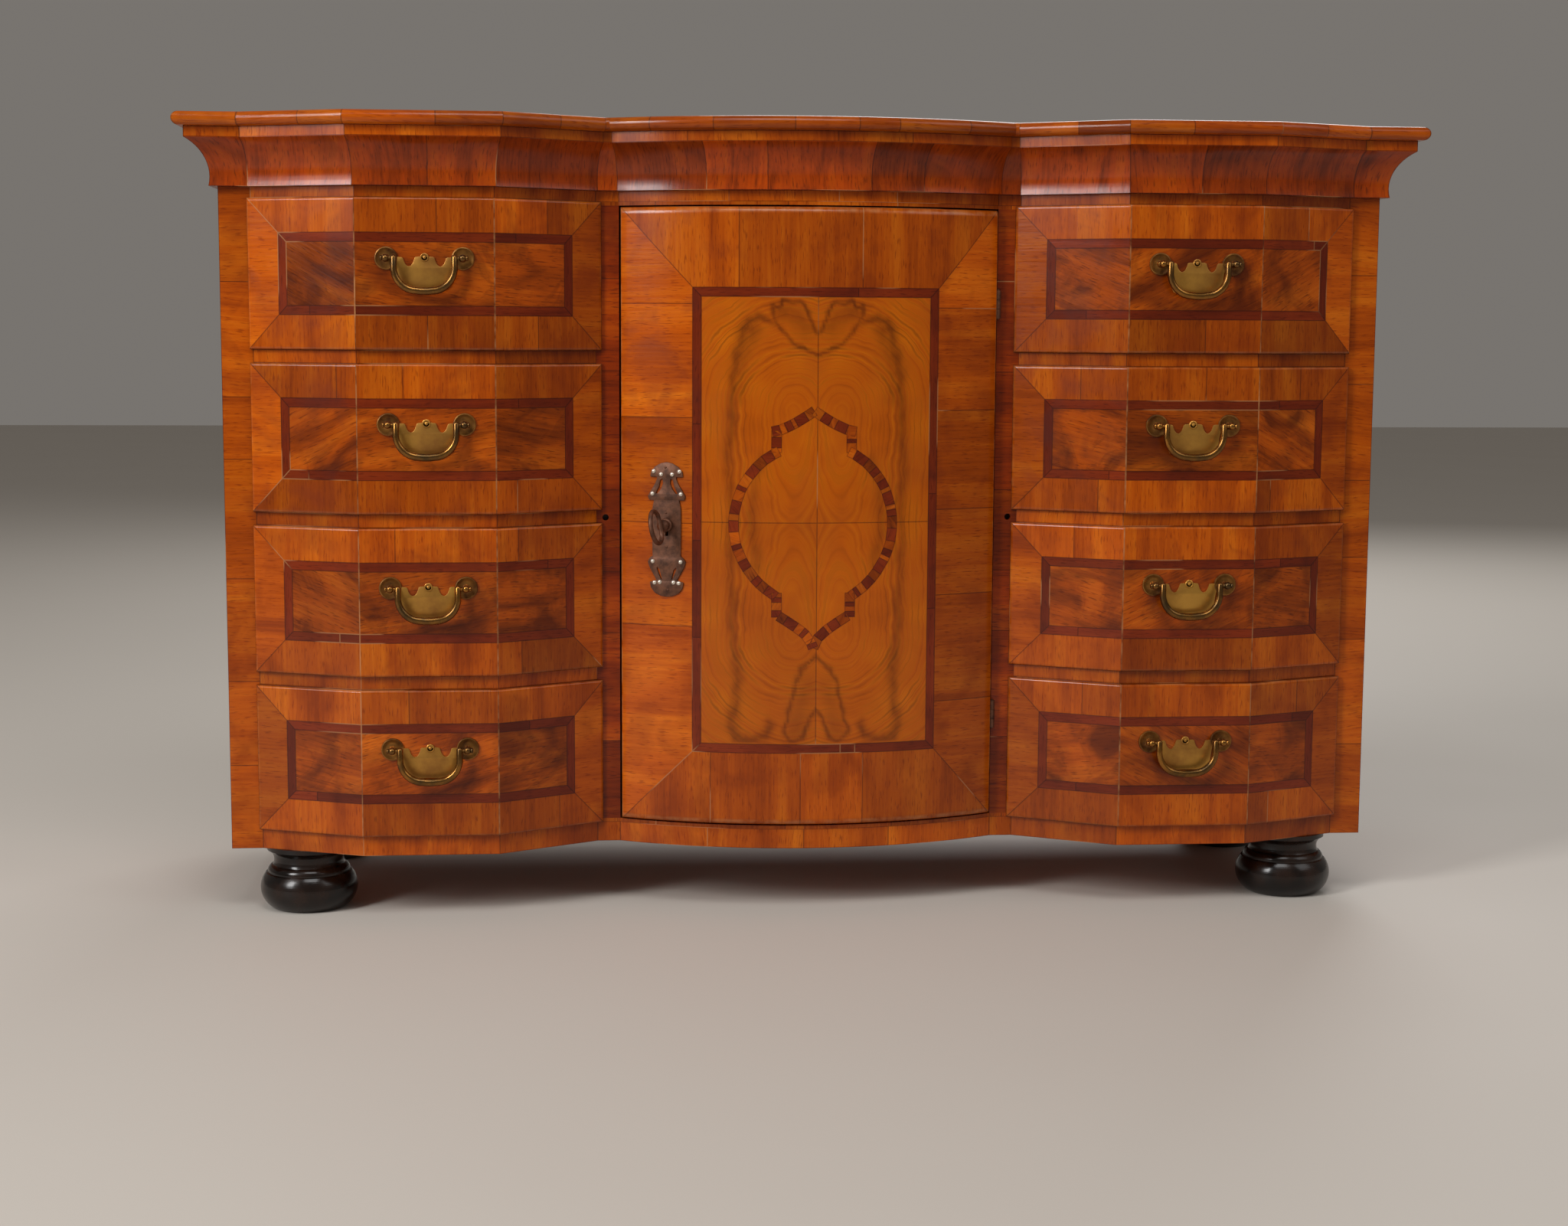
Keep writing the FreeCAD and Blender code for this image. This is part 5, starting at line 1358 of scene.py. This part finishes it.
class CABINET_OT_lock_furniture(bpy.types.Operator):
    """Saw the iron escutcheon, set its studs and forge the key"""

    bl_idname = "cabinet.lock_furniture"
    bl_label = "Escutcheon and key"

    # Right half from the top, in mm from the key's axis
    outline = [(4.5, 47.4), (9.5, 44.5), (12.6, 40.5), (13.0, 37.6), (10.3, 37.3), (7.9, 37.6), (7.4, 36.0),
               (9.0, 32.0), (11.4, 28.0), (13.6, 24.6), (14.9, 21.9), (14.2, 19.6), (9.8, 19.3), (10.4, 17.0),
               (11.3, 12.8), (11.5, 0.0), (11.4, -18.0), (11.2, -24.4), (13.6, -26.0), (15.2, -28.9), (14.0, -32.6),
               (11.0, -38.0), (7.9, -43.2), (10.3, -43.8), (13.4, -44.8), (12.8, -48.8), (9.5, -52.9), (4.5, -55.1)]
    tips = [(0, 48.2), (0, -55.6)]
    slots = [[(3.1, 36.1), (5.4, 35.1), (6.4, 30.2), (8.5, 26.0), (9.5, 23.6), (7.2, 24.0), (4.1, 28.1), (2.6, 32.2)],
             [(7.4, -32.6), (5.4, -35.1), (3.3, -43.6), (5.2, -41.9), (7.0, -37.6), (8.5, -33.5)]]
    studs = [(10.5, 41.4), (4.5, 39.1), (11.6, 24.0), (11.4, -28.5), (9.9, -45.1), (5.6, -44.6)]
    nails = [(-0.8, 44.6), (-0.4, 9.5), (0.0, -17.2), (1.0, -50.7)]
    # The key: its stem as radius and height in mm, its bit as two corners, its bow's middle, half sizes and rod
    stem = [(0, -11.5), (3.3, -11.5), (3.5, -11), (3.5, 2.2), (4.9, 2.5), (5.3, 3.4), (5.0, 4.4), (4.2, 4.9),
            (4.0, 8.5), (4.6, 9.2), (4.6, 10.4), (3.6, 11.4), (2.7, 13.2), (0, 13.8)]
    bit = (-1.1, 7.2, -8.3), (1.1, 11.0, -1.0)
    bow_out, bow_deep, bow_tall, bow_rod = 24.8 * MM, 11.4 * MM, 12.4 * MM, 1.75 * MM
    bow_lean = math.radians(-11)

    def execute(self, context):
        plan, mounts = settings("plan", "mounts")
        spot, out, right = key_place(plan, mounts)

        def flat(x, z, lift):
            return spot + right * x + out * (lift - 2 * SUNK) + Vector((0, 0, z))

        top, tip = scaled(self.tips)
        outlines = [[top] + mirrored(scaled(self.outline), [tip])]
        outlines += [[(sign * x, z) for x, z in scaled(hole)] for hole in self.slots for sign in (1, -1)]
        # The keyhole: a round bore over a slot
        bore = 3.9 * MM
        turns = [math.radians(-68 + 316 * i / 20) for i in range(21)]
        slot = scaled([(-1.5, -8.8), (1.5, -8.8)])
        outlines.append([(bore * math.cos(turn), bore * math.sin(turn)) for turn in turns] + slot)
        mesh = gather("escutcheon_iron", [(sawn(outlines, mounts.escutcheon, 0.3 * MM, flat), 0)], ["iron"])
        show(mesh, "door", ["escutcheon"])
        places = [flat(sign * x, z, mounts.escutcheon) for x, z in scaled(self.studs) for sign in (1, -1)]
        mesh = scattered_heads("escutcheon_stud_heads", places, mounts.stud, out, "stud")
        show(mesh, "door", ["escutcheon_studs"])
        places = [flat(x, z, mounts.escutcheon) for x, z in scaled(self.nails)]
        mesh = scattered_heads("escutcheon_nail_heads", places, 0.55 * mounts.stud, out, "iron")
        show(mesh, "door")
        self.key(spot, out, right)
        return {"FINISHED"}

    def key(self, spot, out, right):
        """The key in its lock: turned stem, forged bow and a flat bit, leaning a little."""
        up = Vector((0, 0, math.cos(self.bow_lean))) + right * math.sin(self.bow_lean)
        side = up.cross(out)
        loop = []
        for i in range(40):
            angle = math.tau * i / 40
            pinch = 1 - 0.16 * max(0.0, -math.cos(angle)) ** 6
            loop.append(spot + out * (self.bow_out + self.bow_deep * math.cos(angle) * pinch)
                        + up * (self.bow_tall * math.sin(angle)))
        parts = [(turned(scaled(self.stem), 24, lambda a, b, h: spot + side * a + up * b + out * h), 0),
                 (tube(loop, [self.bow_rod] * 40, 12, True), 0),
                 (block(*self.bit, lambda x, depth, z: spot + side * x - out * depth + up * z), 0)]
        show(gather("key_iron", parts, ["iron"], 50), "key", ["key"])


def scattered_heads(name, places, radius, out, finish):
    """Domed heads set on points by geometry nodes: a ball on each point, pressed flat along the way out."""
    tree = bpy.data.node_groups.new(name, "GeometryNodeTree")
    tree.interface.new_socket("Geometry", in_out="INPUT", socket_type="NodeSocketGeometry")
    size = tree.interface.new_socket("Radius", in_out="INPUT", socket_type="NodeSocketFloat")
    press = tree.interface.new_socket("Press", in_out="INPUT", socket_type="NodeSocketFloat")
    tree.interface.new_socket("Geometry", in_out="OUTPUT", socket_type="NodeSocketGeometry")
    node = partial(add, tree)
    entry = node("NodeGroupInput").node.outputs
    head = node("GeometryNodeMeshUVSphere", {"Segments": 16, "Rings": 9, "Radius": entry["Radius"]})
    squeeze = node("CombineXYZ", (1.0, 1.0, entry["Press"]))
    pressed = node("GeometryNodeTransform", {"Geometry": head, "Scale": squeeze})
    facing = node("FunctionNodeAlignEulerToVector", {"Vector": tuple(out)}, axis="Z")
    heads = node("GeometryNodeInstanceOnPoints", {"Points": entry["Geometry"], "Instance": pressed,
                                                  "Rotation": facing})
    smoothed = node("GeometryNodeSetShadeSmooth", [node("GeometryNodeRealizeInstances", [heads])])
    node("NodeGroupOutput", [node("GeometryNodeSetMaterial", {"Geometry": smoothed, "Material": FINISH[finish]})])
    seeds = bpy.data.meshes.new(name + "_places")
    seeds.from_pydata([tuple(p) for p in places], [], [])
    helper = placed(name + "_places", seeds)
    modifier = helper.modifiers.new(name, "NODES")
    modifier.node_group = tree
    modifier[size.identifier] = radius
    modifier[press.identifier] = 0.72
    mesh = evaluated(helper)
    mesh.name = name
    helper.modifiers.remove(modifier)
    bpy.data.objects.remove(helper)
    return mesh


class CABINET_OT_stage(bpy.types.Operator):
    """Lay the floor, hang the lamps and set the camera at the photographed angle"""

    bl_idname = "cabinet.stage"
    bl_label = "Stage"

    # Soft lamps: place, aim, width, height, watts
    lamps = {
        "key_lamp": ((-2.05, -1.7, 1.75), (0, -0.1, 0.4), 0.7, 1.1, 46),
        "window_lamp": ((-2.0, -1.72, 0.98), (0, -0.1, 0.45), 0.6, 0.45, 5),
        "front_lamp": ((-0.1, -1.3, 2.1), (0, -0.1, 0.4), 1.1, 0.8, 14),
        "fill_lamp": ((2.2, -1.6, 2.3), (0, -0.1, 0.3), 1.6, 1.6, 14),
        "back_lamp": ((0.9, 2.6, 2.0), (0, 0.1, 0.3), 1.8, 1.8, 34),
    }
    sky, sky_strength = "#d9d2ca", 0.27
    # The camera's place, its yaw, pitch and roll in degrees and its lens in mm, fitted to the photograph
    eye = (-0.1924, -1.9789, 0.4568)
    turns = (5.26, -6.79, 0.31)
    lens, sensor = 55.47, 36.0

    def execute(self, context):
        scene = context.scene
        # Matt paint: pale and even, with a faint change of sheen over 300 mm
        material, node = blank("matt_pale_floor")
        cloud = node("TexNoise", {"Vector": node("TexCoord", out="Object"), "Scale": 3.0, "Detail": 2.0})
        gloss = node("MapRange", (cloud, 0.0, 1.0, 0.55, 0.7))
        surface = node("BsdfPrincipled", {"Base Color": tuple(scene.cabinet_colours.floor), "Roughness": gloss})
        node("OutputMaterial", [surface])
        mesh = bpy.data.meshes.new("floor")
        mesh.from_pydata([(-9, -9, 0), (9, -9, 0), (9, 9, 0), (-9, 9, 0)], [], [(0, 1, 2, 3)])
        mesh.materials.append(material)
        floor = placed("floor", mesh)
        scene.world = bpy.data.worlds.new("studio")
        scene.world.use_nodes = True
        sky = scene.world.node_tree.nodes["Background"].inputs
        sky["Color"].default_value = linear(self.sky)
        sky["Strength"].default_value = self.sky_strength
        for name, (spot, aim, wide, tall, power) in self.lamps.items():
            light = bpy.data.lights.new(name, "AREA")
            light.shape = "RECTANGLE"
            light.size, light.size_y = wide, tall
            light.energy = power
            lamp = placed(name, light)
            lamp.location = spot
            lamp.rotation_euler = (Vector(aim) - Vector(spot)).to_track_quat("-Z", "Y").to_euler()
        camera = bpy.data.cameras.new("camera")
        camera.lens, camera.sensor_width = self.lens, self.sensor
        yaw, pitch, roll = (math.radians(turn) for turn in self.turns)
        ahead = Vector((math.sin(yaw) * math.cos(pitch), math.cos(yaw) * math.cos(pitch), math.sin(pitch)))
        right = Vector((math.cos(yaw), -math.sin(yaw), 0))
        up = right.cross(ahead)
        level, upright = right * math.cos(roll) + up * math.sin(roll), up * math.cos(roll) - right * math.sin(roll)
        turn = Matrix((level, upright, -ahead)).transposed().to_4x4()
        scene.camera = placed("camera", camera)
        scene.camera.matrix_world = Matrix.Translation(self.eye) @ turn
        scene.view_settings.view_transform = "Standard"
        return {"FINISHED"}


class CABINET_PT_sidebar(bpy.types.Panel):
    """The cabinet's pieces and sizes"""

    bl_idname = "CABINET_PT_sidebar"
    bl_label = "Serpentine cabinet"
    bl_space_type = "VIEW_3D"
    bl_region_type = "UI"
    bl_category = "Cabinet"

    def draw(self, context):
        for operator in OPERATORS:
            self.layout.operator(operator.bl_idname)
        for name in GROUPS:
            group = getattr(context.scene, name)
            column = self.layout.box().column()
            for size in group.__annotations__:
                column.prop(group, size)


GROUPS = {"cabinet_plan": CabinetPlan, "cabinet_veneer": VeneerSizes, "cabinet_mounts": MountSizes,
          "cabinet_colours": FinishColours}
OPERATORS = (CABINET_OT_finishes, CABINET_OT_mouldings, CABINET_OT_drawer_fronts, CABINET_OT_door,
             CABINET_OT_handles, CABINET_OT_lock_furniture, CABINET_OT_stage)
CLASSES = (*GROUPS.values(), *OPERATORS, CABINET_PT_sidebar)


def register():
    for cls in CLASSES:
        bpy.utils.register_class(cls)
    for name, group in GROUPS.items():
        setattr(bpy.types.Scene, name, PointerProperty(type=group))


def unregister():
    for name in GROUPS:
        delattr(bpy.types.Scene, name)
    for cls in reversed(CLASSES):
        bpy.utils.unregister_class(cls)


def main():
    register()
    bpy.ops.cabinet.finishes()
    bpy.ops.cabinet.mouldings()
    bpy.ops.cabinet.drawer_fronts()
    bpy.ops.cabinet.door()
    bpy.ops.cabinet.handles()
    bpy.ops.cabinet.lock_furniture()
    bpy.ops.cabinet.stage()


if __name__ == "__main__":
    main()
